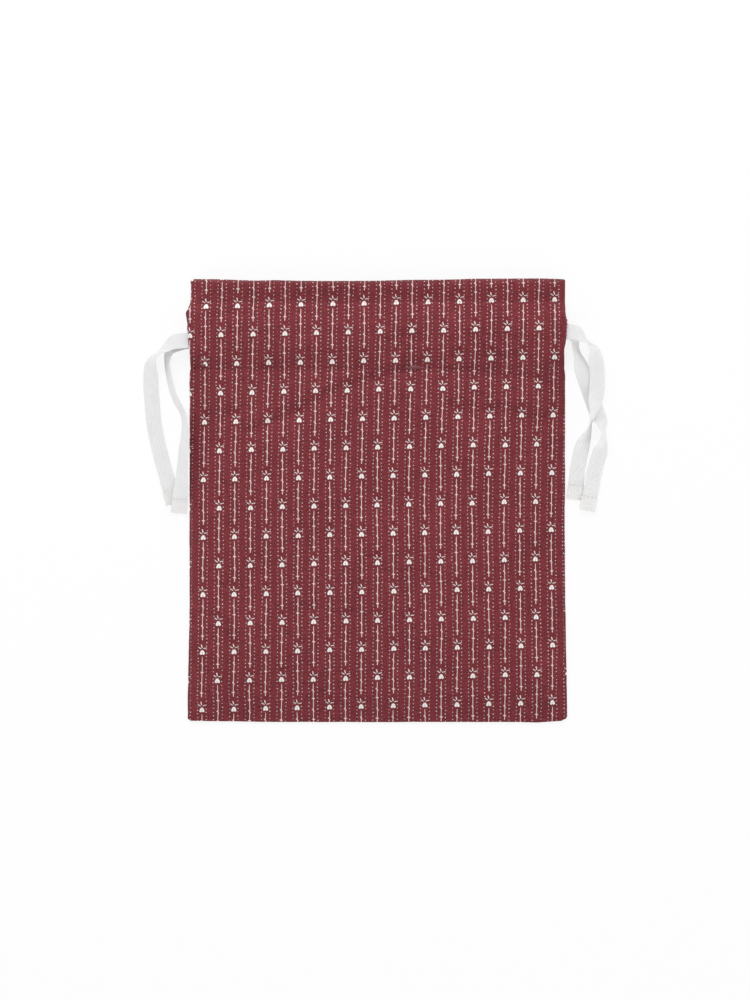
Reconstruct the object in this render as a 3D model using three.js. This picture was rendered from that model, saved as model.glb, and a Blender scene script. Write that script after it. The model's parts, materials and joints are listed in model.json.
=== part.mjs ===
// A flat cotton drawstring bag, lying on its back. Millimetres; +X is the bag's right side seen from
// the front, +Y its mouth and +Z up. The origin is the centre of its footprint, on the surface.
import * as THREE from "three";

// Bag body
const BAG_HEIGHT = 280;
const TOP_WIDTH = 237.6;
const FOOT_WIDTH = 240; // the sides flare a little towards the foot
const FLARE_HEIGHT = 80;
const MOUTH_DIP = 1.2; // the mouth's edge is this much lower in the middle than at its corners
const CLOTH = 0.4; // one layer of cloth
const GAP = 0.3; // between layers that lie on each other
const FILL_HEIGHT = 1.5; // how far the body swells above the channel
const SIDE_SWELL = 32; // how far in from a side seam the swelling is full
const FOOT_SWELL = 28; // the same, from the bottom seam
const SLIT_SWELL = 15; // the same, beside the slits and the mouth
const SWELL_CURVE = 2.2;
const EDGE_LIFT = 0.35; // the back's edge rises off the surface by this much at the seams
const EDGE_LIFT_WIDTH = 5;

// Mouth, channel and slits, measured down from the mouth
const HEADER = 15; // mouth to the upper stitch line
const LEFT_EXIT_DROP = 39.1; // mouth to the middle of the left drawstring where it comes out
const RIGHT_EXIT_DROP = 33.5;
const MOUTH_OPENING = 4.3; // clear height between the two facings
const MOUTH_DROOP = 1.5; // how far the front sinks from the channel to its mouth edge
const STITCH_EASE = 2; // stitch line to the nearest tape
const STITCH_RAMP = 1.5; // the facing comes up to the panel over this width
const FACING_HEM = 2.6; // the facing runs on this far below the lower stitch line
const FACING_INSET = 10.3; // the facing's side edge, in from the bag's side
const SLIT_FOOT_EASE = 8.5; // lower stitch line to the slit's foot
const SLIT_HEAD_EASE = 2; // upper stitch line to the slit's head
const SLIT_HEM_WIDTH = 5.7;
const SLIT_HEM_INSET = 0.3;
const SLIT_HEM_EASE = 6; // the slit hems stop this far short of the slit's ends

// Seam allowances
const SEAM_WIDTH = 8;
const SEAM_INSET = 1.6; // allowance's outer edge, in from the bag's edge
const HEADER_SEAM_WIDTH = 7;
const SEAM_END_EASE = 0.6;

// Drawstring tape
const TAPE_WIDTH = 9.7;
const TAPE = 0.5; // thickness
const TAPE_SPACING = 0.6; // between the two tapes in the channel
const END_LENGTH = 9.2; // folded end of a tail
const END_WIDTH = 10.2;
const ROUTE_STEPS = 4; // strip lengths between two points of a tail's route
const STRIP_COLUMNS = 4; // across a tail, so that it can twist without its two faces meeting
const BEND_EASE = 4; // strip lengths either way over which a tail's crosswise lines turn

// Where each free tail lies: [out from the bag's side, down from its exit, middle's height, lean in
// degrees]. Lean 0 is flat, and 90 stands on the edge that faces away from the bag.
const LEFT_FRONT_ROUTE = [
  [5, 0.3, 7.8, 4],
  [10.4, 1.4, 7.6, 22],
  [15.9, 5.2, 6.6, 58],
  [20.9, 9.4, 5.6, 80],
  [24.4, 14.8, 3.4, 35],
  [25.1, 23.4, 0.9, 5],
  [24.3, 37.8, 0.4, 0],
  [23.1, 51.5, 0.4, 0],
  [20.4, 65.7, 0.4, 0],
  [17.4, 77.5, 0.4, 0],
  [14.2, 89, 0.4, 0],
  [12.8, 94.5, 0.4, 0],
];
const LEFT_BACK_ROUTE = [
  [5.5, 1.1, 1.7, 8],
  [10, 3.8, 2.6, 28],
  [13.3, 8.4, 4.3, 55],
  [14.2, 14, 4.8, 66],
  [13.4, 20.8, 4.8, 66],
  [11.7, 29.3, 4.8, 66],
  [8.7, 37.8, 4.8, 66],
  [5.6, 43.4, 4.8, 66],
  [3.4, 48.8, 4.8, 65],
  [2.9, 54.5, 4.7, 62],
  [3.1, 60.5, 4.5, 57],
  [3.9, 68, 4.1, 49],
  [4.4, 76, 3.8, 45],
  [5.1, 84, 3.5, 40],
  [5.6, 91.4, 3.5, 24],
  [6.4, 100.2, 2.35, -4],
];
const RIGHT_FRONT_ROUTE = [
  [6.4, 0.8, 7.8, 10],
  [10, 3.2, 7.3, 45],
  [13.3, 6.1, 6.4, 78],
  [16.4, 9.6, 5.4, 62],
  [18.6, 13.8, 3.2, 24],
  [20, 20.5, 1.6, 5],
  [20.5, 28.7, 1.3, 0],
  [20.1, 38.2, 2, 4],
  [18.6, 45.6, 4.3, 29],
  [17.3, 51, 6.9, 60],
  [15.9, 58.3, 6.3, 80],
  [14.4, 63.3, 4.9, 66],
  [11.9, 69.5, 2.8, 30],
  [9.8, 78, 0.7, 4],
  [8.2, 87, 0.4, 0],
  [7.1, 97.1, 0.4, 0],
];
const RIGHT_BACK_ROUTE = [
  [3.8, 0.8, 2.5, 24],
  [5.6, 3.2, 3.7, 44],
  [6.1, 6.4, 4.4, 55],
  [6.5, 9.8, 4.75, 62],
  [7.9, 15.2, 4.6, 58],
  [10.5, 22.8, 1.6, 12],
  [13.3, 31.1, 0.4, 0],
  [16.4, 40.1, 0.4, 0],
  [19.6, 48.5, 0.4, 0],
  [21.2, 52, 0.6, 2],
  [22.3, 54.6, 0.9, 5],
  [23.5, 58, 2.8, 28],
  [24, 61, 4.6, 58],
  [24.4, 64.8, 4.8, 64],
  [23.6, 70.2, 3.7, 42],
  [22.4, 75.6, 1.6, 14],
  [19.3, 86.9, 0.5, 0],
  [17.4, 96.4, 1.1, 5],
  [15.8, 104.4, 1.4, 7],
];

// Levels and lines that follow from the sizes above
const HALF_HEIGHT = BAG_HEIGHT / 2;
const TOP_HALF = TOP_WIDTH / 2;
const RIM = EDGE_LIFT + 2 * CLOTH + GAP; // top of the two layers at a seam
const LAYER = CLOTH + GAP;
const BACK_HEM = LAYER;
const BACK_TAPE = BACK_HEM + LAYER;
const BACK_FACING = BACK_TAPE + TAPE + GAP;
const FRONT_FACING = BACK_FACING + CLOTH + MOUTH_OPENING;
const FRONT_TAPE = FRONT_FACING + LAYER;
const FRONT_HEM = FRONT_TAPE + TAPE + GAP;
const CHANNEL_TOP = FRONT_HEM + LAYER + CLOTH;
const CHANNEL_DEPTH = FRONT_HEM + CLOTH - (FRONT_FACING + CLOTH);
const BODY_TOP = CHANNEL_TOP + FILL_HEIGHT;

const TAPE_PITCH = TAPE_WIDTH + TAPE_SPACING;
const LEFT_EXIT = HALF_HEIGHT - LEFT_EXIT_DROP;
const RIGHT_EXIT = HALF_HEIGHT - RIGHT_EXIT_DROP;
const TAPE_TILT = Math.atan2(RIGHT_EXIT - TAPE_PITCH - LEFT_EXIT, TOP_WIDTH);
const FACING_HALF = TOP_HALF - FACING_INSET;
const LOWEST_TAPE = LEFT_EXIT + Math.tan(TAPE_TILT) * (TOP_HALF + FACING_HALF) - TAPE_WIDTH / 2;
const HIGHEST_TAPE = RIGHT_EXIT - Math.tan(TAPE_TILT) * (TOP_HALF + FACING_HALF) + TAPE_WIDTH / 2;
const UPPER_STITCH = HALF_HEIGHT - HEADER;
const LOWER_STITCH = LOWEST_TAPE - STITCH_EASE;
const SLIT_FOOT = LOWER_STITCH - SLIT_FOOT_EASE;
const SLIT_HEAD = UPPER_STITCH + SLIT_HEAD_EASE;
const FACING_FOOT = LOWER_STITCH - FACING_HEM;
const TURN_CENTRE = FACING_HALF + GAP;
const SIDE_LEVEL = (BACK_FACING + FRONT_FACING + CLOTH) / 2;
const FOLD_RADIUS = (FRONT_FACING + CLOTH - BACK_FACING) / 2;
const TURN_RADIUS = (FRONT_TAPE - BACK_TAPE + TAPE) / 2;

const { clamp, lerp, smoothstep, degToRad } = THREE.MathUtils;

const bag = new THREE.Group();

function cloth() {
  return new THREE.MeshStandardMaterial({ color: 0x7f3a42, roughness: 0.92, metalness: 0 });
}

function tape() {
  return new THREE.MeshStandardMaterial({ color: 0xe6e3dc, roughness: 0.88, metalness: 0 });
}

function place(name, geometry, material, parent = bag) {
  const mesh = new THREE.Mesh(geometry, material);
  mesh.name = name;
  parent.add(mesh);
  return mesh;
}

// The bag's outline

function halfWidth(y) {
  const flare = 1 - smoothstep(y + HALF_HEIGHT, 0, FLARE_HEIGHT);
  return TOP_HALF + (flare * (FOOT_WIDTH - TOP_WIDTH)) / 2;
}

function mouthEdge(x) {
  return HALF_HEIGHT - MOUTH_DIP * (1 - (x / TOP_HALF) ** 2);
}

// Share of the full height that cloth has reached at a distance in from its seam.
function swell(distance, width) {
  return 1 - (1 - clamp(distance / width, 0, 1)) ** SWELL_CURVE;
}

// 0 where the side is sewn shut, 1 where the slit stands open round the tapes.
function slitOpening(y) {
  const foot = smoothstep(y, SLIT_FOOT, LOWEST_TAPE);
  const head = 1 - smoothstep(y, HIGHEST_TAPE, SLIT_HEAD);
  return Math.min(foot, head);
}

// Height of the front's outer face where it isn't drawn down to a seam.
function crown(y) {
  const body = lerp(BODY_TOP, CHANNEL_TOP, smoothstep(y, SLIT_FOOT - SIDE_SWELL, FACING_FOOT));
  return body - MOUTH_DROOP * smoothstep(y, HIGHEST_TAPE, HALF_HEIGHT);
}

function frontFace(x, y) {
  const near = smoothstep(y, SLIT_FOOT - SIDE_SWELL, SLIT_FOOT);
  const side = swell(halfWidth(y) - Math.abs(x), lerp(SIDE_SWELL, SLIT_SWELL, near));
  const open = slitOpening(y);
  const lift = Math.min(open + (1 - open) * side, swell(y + HALF_HEIGHT, FOOT_SWELL));
  return RIM + (crown(y) - RIM) * lift;
}

function backFace(x, y) {
  const sewn = 1 - slitOpening(y);
  const side = 1 - smoothstep(halfWidth(y) - Math.abs(x), 0, EDGE_LIFT_WIDTH);
  const foot = 1 - smoothstep(y + HALF_HEIGHT, 0, EDGE_LIFT_WIDTH);
  return EDGE_LIFT * Math.max(side * sewn, foot);
}

// 1 between the stitch lines, where the facing hangs clear of the panel, 0 outside them.
function channel(y) {
  const lower = smoothstep(y, LOWER_STITCH, LOWER_STITCH + STITCH_RAMP);
  const upper = 1 - smoothstep(y, HIGHEST_TAPE + GAP, HIGHEST_TAPE + GAP + STITCH_RAMP);
  return Math.min(lower, upper);
}

// The surface that lies at a distance above a given one, measured square to it.
function above(surface, distance) {
  const nudge = 0.01;
  return (a, b) => {
    const alongA = surface(a + nudge, b).sub(surface(a - nudge, b));
    const alongB = surface(a, b + nudge).sub(surface(a, b - nudge));
    const normal = alongA.cross(alongB).normalize();
    return surface(a, b).addScaledVector(normal, typeof distance === "number" ? distance : distance(b));
  };
}

// A closed sheet of even thickness over a grid. middle(a, b) is a point of its middle surface.
function sheet(across, along, middle, thickness) {
  const geometry = new THREE.BoxGeometry(1, 1, 1, across.length - 1, along.length - 1, 1);
  const position = geometry.attributes.position;
  const faces = [above(middle, -thickness / 2), above(middle, thickness / 2)];
  for (let i = 0; i < position.count; i++) {
    const a = across[Math.round((position.getX(i) + 0.5) * (across.length - 1))];
    const b = along[Math.round((position.getY(i) + 0.5) * (along.length - 1))];
    const point = faces[position.getZ(i) < 0 ? 0 : 1](a, b);
    position.setXYZ(i, point.x, point.y, point.z);
  }
  return geometry;
}

// Values from low to high with about the given spacing, closer near the ends.
function spread(low, high, edges, spacing) {
  const reach = edges[edges.length - 1];
  const count = Math.max(1, Math.round((high - low - 2 * reach) / spacing));
  const inner = [];
  for (let i = 1; i < count; i++) inner.push(lerp(low + reach, high - reach, i / count));
  return [...edges.map((d) => low + d), ...inner, ...edges.map((d) => high - d).reverse()];
}

// Panels

const PANEL_COLUMNS = spread(-TOP_HALF, TOP_HALF, [0, 0.8, 2.4, 5, 9, 15, 23, 32], 35);
const HEM_LOW = SLIT_FOOT + SLIT_HEM_EASE;
const HEM_HIGH = SLIT_HEAD - SLIT_HEM_EASE;
const SLIT_FOOT_ROWS = spread(HEM_LOW, LOWEST_TAPE, [0], 1.2);
const SLIT_HEAD_ROWS = spread(HIGHEST_TAPE, HEM_HIGH, [0], 1.8);
const FRONT_ROWS = [
  ...spread(-HALF_HEIGHT, SLIT_FOOT - SIDE_SWELL, [0, 0.8, 2.4, 5.5, 10, 17], 30),
  ...spread(SLIT_FOOT - SIDE_SWELL + 8, SLIT_FOOT, [0], 8),
  ...spread(SLIT_FOOT, HEM_LOW, [0], 2.2).slice(1, -1),
  ...SLIT_FOOT_ROWS,
  ...SLIT_HEAD_ROWS,
  ...spread(HEM_HIGH, SLIT_HEAD, [0], 2.2).slice(1),
  HALF_HEIGHT - HEADER / 2,
  HALF_HEIGHT,
];
const EDGE_INSETS = [0, 2, EDGE_LIFT_WIDTH];
const BACK_ROWS = spread(-HALF_HEIGHT, HALF_HEIGHT, EDGE_INSETS, 40);
const BACK_COLUMNS = spread(-TOP_HALF, TOP_HALF, EDGE_INSETS, 56);

// Keeps a panel's points inside its outline: x follows the flare and y the dipped mouth edge.
function onPanel(x, y, height) {
  const wide = (x * halfWidth(y)) / TOP_HALF;
  const high = y + (mouthEdge(x) - HALF_HEIGHT) * smoothstep(y, UPPER_STITCH, HALF_HEIGHT);
  return new THREE.Vector3(wide, high, height(wide, y));
}

const frontPanel = (x, y) => onPanel(x, y, (a, b) => frontFace(a, b) - CLOTH / 2);
const backPanel = (x, y) => onPanel(x, y, (a, b) => backFace(a, b) + CLOTH / 2);
place("front_panel", sheet(PANEL_COLUMNS, FRONT_ROWS, frontPanel, CLOTH), cloth());
place("back_panel", sheet(BACK_COLUMNS, BACK_ROWS, backPanel, CLOTH), cloth());

// Facings: the panels' tops turned down inside, which close the channel

const FACING_COLUMNS = [
  -FACING_HALF,
  ...PANEL_COLUMNS.filter((x) => Math.abs(x) < FACING_HALF - GAP),
  FACING_HALF,
];
const FACING_ROWS = [
  FACING_FOOT,
  ...spread(LOWER_STITCH, LOWER_STITCH + STITCH_RAMP, [0], 0.5),
  ...spread(HIGHEST_TAPE + GAP, HIGHEST_TAPE + GAP + STITCH_RAMP, [0], 0.5),
  ...FRONT_ROWS.filter((y) => y > HIGHEST_TAPE + GAP + STITCH_RAMP + 1 && y < HALF_HEIGHT),
  HALF_HEIGHT - GAP,
];
const frontFacing = above(frontPanel, (y) => -LAYER - CHANNEL_DEPTH * channel(y));
const backFacing = above(backPanel, (y) => LAYER + (BACK_FACING - LAYER) * channel(y));
place("front_facing", sheet(FACING_COLUMNS, FACING_ROWS, frontFacing, CLOTH), cloth());
place("back_facing", sheet(FACING_COLUMNS, FACING_ROWS, backFacing, CLOTH), cloth());

// Half a ring that opens towards -X, as a band of the given depth along Y from the origin.
function halfRing(outer, thickness, depth) {
  const inner = outer - thickness;
  const shape = new THREE.Shape();
  shape.moveTo(0, -outer);
  shape.absarc(0, 0, outer, -Math.PI / 2, Math.PI / 2, false);
  shape.lineTo(0, inner);
  shape.absarc(0, 0, inner, Math.PI / 2, -Math.PI / 2, true);
  shape.closePath();
  const ring = new THREE.ExtrudeGeometry(shape, { depth, bevelEnabled: false, curveSegments: 10 });
  return ring.rotateX(Math.PI / 2).translate(0, depth, 0);
}

// Seams and slit hems. side is -1 on the left and 1 on the right.

function allowance(columns, rows) {
  return sheet(columns, rows, above(backPanel, LAYER + CLOTH / 2), 2 * CLOTH);
}

function sideAllowance(side, low, high, width) {
  const insets = [SEAM_INSET, ...EDGE_INSETS.filter((d) => d > SEAM_INSET), SEAM_INSET + width];
  const columns = insets.map((d) => side * (TOP_HALF - d)).sort((p, q) => p - q);
  return allowance(columns, spread(low, high, [0], 30));
}

function hemBand(side, surface) {
  const inset = SLIT_HEM_INSET;
  const start = side < 0 ? -TOP_HALF + inset : TOP_HALF - inset - SLIT_HEM_WIDTH;
  const columns = [start, start + SLIT_HEM_WIDTH / 2, start + SLIT_HEM_WIDTH];
  return sheet(columns, [...SLIT_FOOT_ROWS, ...SLIT_HEAD_ROWS], surface, CLOTH);
}

for (const [name, side] of [["left", -1], ["right", 1]]) {
  const seamFoot = -HALF_HEIGHT + 2 * SEAM_INSET;
  place(`${name}_side_seam`, sideAllowance(side, seamFoot, SLIT_FOOT, SEAM_WIDTH), cloth());
  const headerSeam = sideAllowance(side, SLIT_HEAD, HALF_HEIGHT - SEAM_INSET, HEADER_SEAM_WIDTH);
  place(`${name}_header_seam`, headerSeam, cloth());
  place(`front_${name}_slit_hem`, hemBand(side, above(frontPanel, -LAYER)), cloth());
  place(`back_${name}_slit_hem`, hemBand(side, above(backPanel, LAYER)), cloth());
  const foldLow = LOWER_STITCH + STITCH_RAMP;
  const fold = halfRing(FOLD_RADIUS, CLOTH, HIGHEST_TAPE - foldLow);
  const facingSeam = place(`${name}_facing_seam`, fold, cloth());
  facingSeam.position.set(side * TURN_CENTRE, side < 0 ? HIGHEST_TAPE : foldLow, SIDE_LEVEL);
  facingSeam.rotation.z = side < 0 ? Math.PI : 0;
}

const bottomHalf = TOP_HALF - SEAM_INSET - SEAM_WIDTH - SEAM_END_EASE;
const bottomInsets = [SEAM_INSET, ...EDGE_INSETS.filter((d) => d > SEAM_INSET), SEAM_INSET + SEAM_WIDTH];
const bottomRows = bottomInsets.map((d) => d - HALF_HEIGHT);
place("bottom_seam", allowance(spread(-bottomHalf, bottomHalf, [0], 56), bottomRows), cloth());

// Drawstrings. Each is one tape, held in the channel along a line that tilts by TAPE_TILT.

// Frames along a free tail: middle, direction, width and upward normal. The direction is a mean over
// BEND_EASE places either way, so that the inner edge of a tight bend doesn't fold over itself.
function tailFrames(side, exit, level, route) {
  const start = [GAP, 0, level + TAPE / 2, 0];
  const points = [start, ...route];
  const places = points.map(([out, down, z]) => new THREE.Vector3(side * (TOP_HALF + out), exit - down, z));
  const curve = new THREE.CatmullRomCurve3(places, false, "centripetal");
  const count = (points.length - 1) * ROUTE_STEPS;
  const tangents = [new THREE.Vector3(side, 0, 0)];
  for (let i = 1; i <= count; i++) tangents.push(curve.getTangent(i / count));
  const frames = [];
  for (let i = 0; i <= count; i++) {
    const before = Math.min(Math.floor(i / ROUTE_STEPS), points.length - 2);
    const lean = lerp(points[before][3], points[before + 1][3], i / ROUTE_STEPS - before);
    const ease = Math.min(BEND_EASE, i, count - i);
    const direction = new THREE.Vector3();
    for (const tangent of tangents.slice(i - ease, i + ease + 1)) direction.add(tangent);
    direction.normalize();
    const flat = new THREE.Vector3(direction.y, -direction.x, 0).normalize().multiplyScalar(side);
    const up = new THREE.Vector3().crossVectors(direction, flat).multiplyScalar(side).negate();
    const width = flat.clone().multiplyScalar(Math.cos(degToRad(lean)));
    width.addScaledVector(up, Math.sin(degToRad(lean)));
    const normal = new THREE.Vector3().crossVectors(direction, width).multiplyScalar(side).negate();
    frames.push({ middle: curve.getPoint(i / count), direction, width, normal });
  }
  return frames;
}

// A flat strip through the frames.
function strip(frames, width, thickness) {
  const geometry = new THREE.BoxGeometry(1, 1, 1, frames.length - 1, STRIP_COLUMNS, 1);
  const position = geometry.attributes.position;
  for (let i = 0; i < position.count; i++) {
    const frame = frames[Math.round((position.getX(i) + 0.5) * (frames.length - 1))];
    const point = frame.middle.clone();
    point.addScaledVector(frame.width, position.getY(i) * width);
    point.addScaledVector(frame.normal, position.getZ(i) * thickness);
    position.setXYZ(i, point.x, point.y, point.z);
  }
  return geometry;
}

// Turns every triangle round, for a shape built in a mirrored frame.
function flipped(geometry) {
  const index = geometry.index;
  for (let i = 0; i < index.count; i += 3) {
    const first = index.getX(i);
    index.setX(i, index.getX(i + 1));
    index.setX(i + 1, first);
  }
  return geometry;
}

// A tail's end, folded back on itself and stitched: two layers with a round fold at the tip.
function foldedEnd(frame) {
  const shape = new THREE.Shape();
  shape.moveTo(GAP, -TAPE / 2);
  shape.lineTo(END_LENGTH - TAPE, -TAPE / 2);
  shape.absarc(END_LENGTH - TAPE, TAPE / 2, TAPE, -Math.PI / 2, Math.PI / 2, false);
  shape.lineTo(GAP, TAPE * 1.5);
  shape.closePath();
  const options = { depth: END_WIDTH, bevelEnabled: false, curveSegments: 6 };
  const geometry = new THREE.ExtrudeGeometry(shape, options).translate(0, 0, -END_WIDTH / 2);
  const across = new THREE.Vector3().crossVectors(frame.direction, frame.normal);
  const basis = new THREE.Matrix4().makeBasis(frame.direction, frame.normal, across);
  return geometry.applyMatrix4(basis.setPosition(frame.middle));
}

function drawstring(name, side, exit, routes) {
  const held = new THREE.Group();
  held.position.set(side * TOP_HALF, exit, 0);
  held.rotation.z = side < 0 ? TAPE_TILT : TAPE_TILT + Math.PI;
  bag.add(held);
  const reach = (TOP_HALF + TURN_CENTRE) / Math.cos(TAPE_TILT);

  for (const [face, level] of [["front", FRONT_TAPE], ["back", BACK_TAPE]]) {
    const run = new THREE.BoxGeometry(reach - GAP, TAPE_WIDTH, TAPE);
    run.translate((reach - GAP) / 2, 0, level + TAPE / 2);
    place(`${name}_drawstring_${face}_run`, run, tape(), held);
    const frames = tailFrames(side, exit, level, routes[face]);
    const tail = strip(frames, TAPE_WIDTH, TAPE);
    place(`${name}_drawstring_${face}_tail`, side < 0 ? tail : flipped(tail), tape());
    const end = foldedEnd(frames[frames.length - 1]);
    place(`${name}_drawstring_${face}_end`, end, tape());
  }

  const turn = halfRing(TURN_RADIUS, TAPE, TAPE_WIDTH);
  turn.translate(reach, -TAPE_WIDTH / 2, (FRONT_TAPE + TAPE + BACK_TAPE) / 2);
  place(`${name}_drawstring_turn`, turn, tape(), held);
}

drawstring("left", -1, LEFT_EXIT, { front: LEFT_FRONT_ROUTE, back: LEFT_BACK_ROUTE });
drawstring("right", 1, RIGHT_EXIT, { front: RIGHT_FRONT_ROUTE, back: RIGHT_BACK_ROUTE });

export default bag;
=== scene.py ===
import json
import math

import bmesh
import bpy
import numpy as np
from bpy.props import FloatProperty, FloatVectorProperty, PointerProperty
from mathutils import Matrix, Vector

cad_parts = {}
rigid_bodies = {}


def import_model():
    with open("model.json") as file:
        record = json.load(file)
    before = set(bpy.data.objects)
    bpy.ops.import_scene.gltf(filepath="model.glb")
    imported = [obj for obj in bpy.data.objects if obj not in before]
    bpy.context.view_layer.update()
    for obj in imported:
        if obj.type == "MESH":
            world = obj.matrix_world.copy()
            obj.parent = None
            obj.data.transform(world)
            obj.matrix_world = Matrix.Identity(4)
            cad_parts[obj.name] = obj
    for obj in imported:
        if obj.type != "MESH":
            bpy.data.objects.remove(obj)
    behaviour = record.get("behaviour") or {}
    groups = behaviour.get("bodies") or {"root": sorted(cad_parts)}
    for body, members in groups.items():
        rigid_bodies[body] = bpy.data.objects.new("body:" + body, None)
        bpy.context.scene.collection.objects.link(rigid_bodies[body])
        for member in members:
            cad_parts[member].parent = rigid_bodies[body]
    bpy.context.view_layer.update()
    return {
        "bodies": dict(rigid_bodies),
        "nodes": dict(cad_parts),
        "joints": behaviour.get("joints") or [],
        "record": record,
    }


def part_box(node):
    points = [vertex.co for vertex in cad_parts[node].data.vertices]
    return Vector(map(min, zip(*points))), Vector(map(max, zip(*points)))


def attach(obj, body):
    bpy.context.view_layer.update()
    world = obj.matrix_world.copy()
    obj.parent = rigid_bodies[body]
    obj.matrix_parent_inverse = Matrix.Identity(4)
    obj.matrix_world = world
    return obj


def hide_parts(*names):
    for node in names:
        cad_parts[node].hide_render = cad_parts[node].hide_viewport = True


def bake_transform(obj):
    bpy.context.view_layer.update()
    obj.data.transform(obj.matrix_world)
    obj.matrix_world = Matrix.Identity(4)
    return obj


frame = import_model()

bl_info = {
    "name": "Cotton drawstring gift bag",
    "version": (1, 0, 0),
    "blender": (4, 5, 0),
    "location": "3D View > Sidebar > Gift bag",
    "description": "Builds a flat printed cotton gift bag with two tape drawstrings",
    "category": "Add Mesh",
}

BACK_LOW, BACK_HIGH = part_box("back_panel")
RUN_LOW, RUN_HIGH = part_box("left_drawstring_front_run")

# Lengths in the code below are millimetres, as a sewing pattern gives them. MM turns them to metres.
MM = 0.001

LEFT_ROOM = 0.45  # the cloth's edges lie this far outside the plain outline
RIGHT_ROOM = 0.8
LEFT_CORNER = 1.4  # radius of each corner at the foot
RIGHT_CORNER = 3.0
GAP = 0.3  # between layers that lie on each other
FILL_HEIGHT = 0.6  # how far the body swells above the channel
SIDE_SWELL = 52  # how far in from a side seam the swelling is full
FOOT_SWELL = 75  # and how far up from the foot seam
SLIT_SWELL = 24  # and how far in from the side beside the slit
SWELL_CURVE = 1.9  # 1 swells up straight from the seam, and more swells rounder
EDGE_LIFT = 0.35  # the back's edge rises off the surface by this much at the seams
EDGE_LIFT_WIDTH = 5
FLARE_HEIGHT = 80  # the sides widen to the foot's width over this height
MOUTH_OPENING = 4.3  # between the two facings
MOUTH_DROOP = 1.5  # how far the front sinks between the tapes and the mouth
CHANNEL_SWELL = 2.9  # how far the channel rises over its tapes
HEADER_SWELL = 3.0  # how far the header rises above the upper stitch line
MOUTH_ROLL = 1.3  # how far the mouth's edge rolls down again
STITCH_HOLLOW = 0.8  # the broad hollow along each stitch line
STITCH_DIP = 0.30  # and the narrow dip in it
STITCH_EASE = 8.95  # from the tapes down to the lower stitch line
STITCH_RAMP = 1.5  # the facing leaves the panel over this height
FACING_HEM = 2.6  # the facing's raw edge lies this far below the lower stitch line
FACING_INSET = 10.3  # the facing's sides lie this far inside the bag's
SLIT_FOOT_EASE = 1.55  # the slit starts this far below the lower stitch line
SLIT_HEAD_EASE = 2  # and ends this far above the upper one
SLIT_HEM_WIDTH = 5.7
SLIT_HEM_EASE = 6  # the hem narrows to a seam's lip over this height
LIP_RADIUS = 0.44  # of the lip that rolls in along a seam
LIP_ROOM = 0.48  # between the flat cloth's edge and the outline, for the lip
FOOT_LIP_ROOM = 0.46
TUCK = 0.1  # a lip runs on this far past its quarter turn
LEFT_EXIT_DROP = 39.1  # from the mouth to the middle of the tape at the slit
RIGHT_EXIT_DROP = 33.5
TAPE_SPACING = 0.6  # between the two tapes in the channel
TURN_LIFT = 1.04  # a tape's folded end lies this many thicknesses up
END_LENGTH = 9.2  # of a tail's folded end
END_WIDTH = 10.2
SEAM_WIDTH = 8
HEADER_SEAM_WIDTH = 7
SEWN_GAP = 0.02  # between two layers that are sewn together
PRINT_PULL = 1.45  # how far the front's folds draw its print sideways
PULL_REACH = 66
PUCKER_HEIGHT = 0.30  # of the little waves beside the seams
PUCKER_REACH = 7
STITCH_WAVE = 0.15  # height of the small waves beside a stitch line
SEAM_EDGE = 1.1  # the allowance starts this far inside the edge
SEAM_END = 1.6  # and its width counts from here
OVERLOCK_PITCH = 2.6  # between two loops of the overlock thread
OVERLOCK_REACH = 2.6  # how far a loop reaches over the edge
OVERLOCK_SLANT = 1.5  # how far it leans
STITCH_GAP = 0.55  # between two machine stitches
THREAD_WIDTH = 0.30
THREAD_HEIGHT = 0.24
STITCH_BEND = 0.55  # a stitch's ends dip by a quarter of this
SLIT_STITCH_INSET = 4.9  # the stitches beside a slit lie this far in
FRONT_SPACING = 1.55  # between the points of the front's mesh
BACK_SPACING = 2.6
WELD = 0.002  # points closer than this become one

# A soft fold: the share of its length over which each end fades, the share of its width by which its
# bottom lies beside its line, and how much wider its gentle side is than its steep one
FOLD_FADE = 0.14
FOLD_SHIFT = 0.7
FOLD_SLOPE = 2.6

# How far each layer's side edge stands out from the plain outline: (height, distance)
FRONT_LEFT_EDGE = [
    (80, 0.0), (84, -0.7), (96, -0.6), (99, 0.0), (104, 0.2), (110, 0.4), (119, 0.4),
    (122, -0.3), (124, -1.3), (127, -0.7), (140, -0.7),
]
BACK_LEFT_EDGE = [
    (80, -0.2), (84, -0.7), (90, -0.5), (96, -0.2), (100.7, -0.6), (103.5, 0.5), (108.3, 1.6),
    (111, 1.25), (116, 1.85), (118.4, 2.3), (119.2, 2.2), (121.2, 0.6), (122.6, 0.4), (124.5, -0.5),
    (128, -0.8), (140, -0.8),
]
FRONT_RIGHT_EDGE = [
    (-140, -0.4), (-127, -0.5), (-76, -0.3), (-63, -0.6), (-32, -0.6), (-25, -1.0), (-7, -1.0), (0, -0.6),
    (79, -0.6), (84, -1.3), (90, -1.6), (93, -1.75), (95.7, -1.8), (98.2, -1.1), (100.7, -0.75), (105, -0.3),
    (110.9, 0.2), (113.4, 0.3), (116, -0.5), (118.5, -0.8), (122, -0.65), (140, -0.55),
]
BACK_RIGHT_EDGE = [
    (-140, -0.6), (-127, -0.7), (-76, -0.4), (-63, -0.8), (79, -0.8), (84, -1.5), (90, -1.8), (95.7, -2.0),
    (98.2, -1.3), (105, -0.5), (110.9, 0.0), (113.4, 0.1), (116, -0.7), (118.5, -1.0), (140, -0.75),
]
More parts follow.
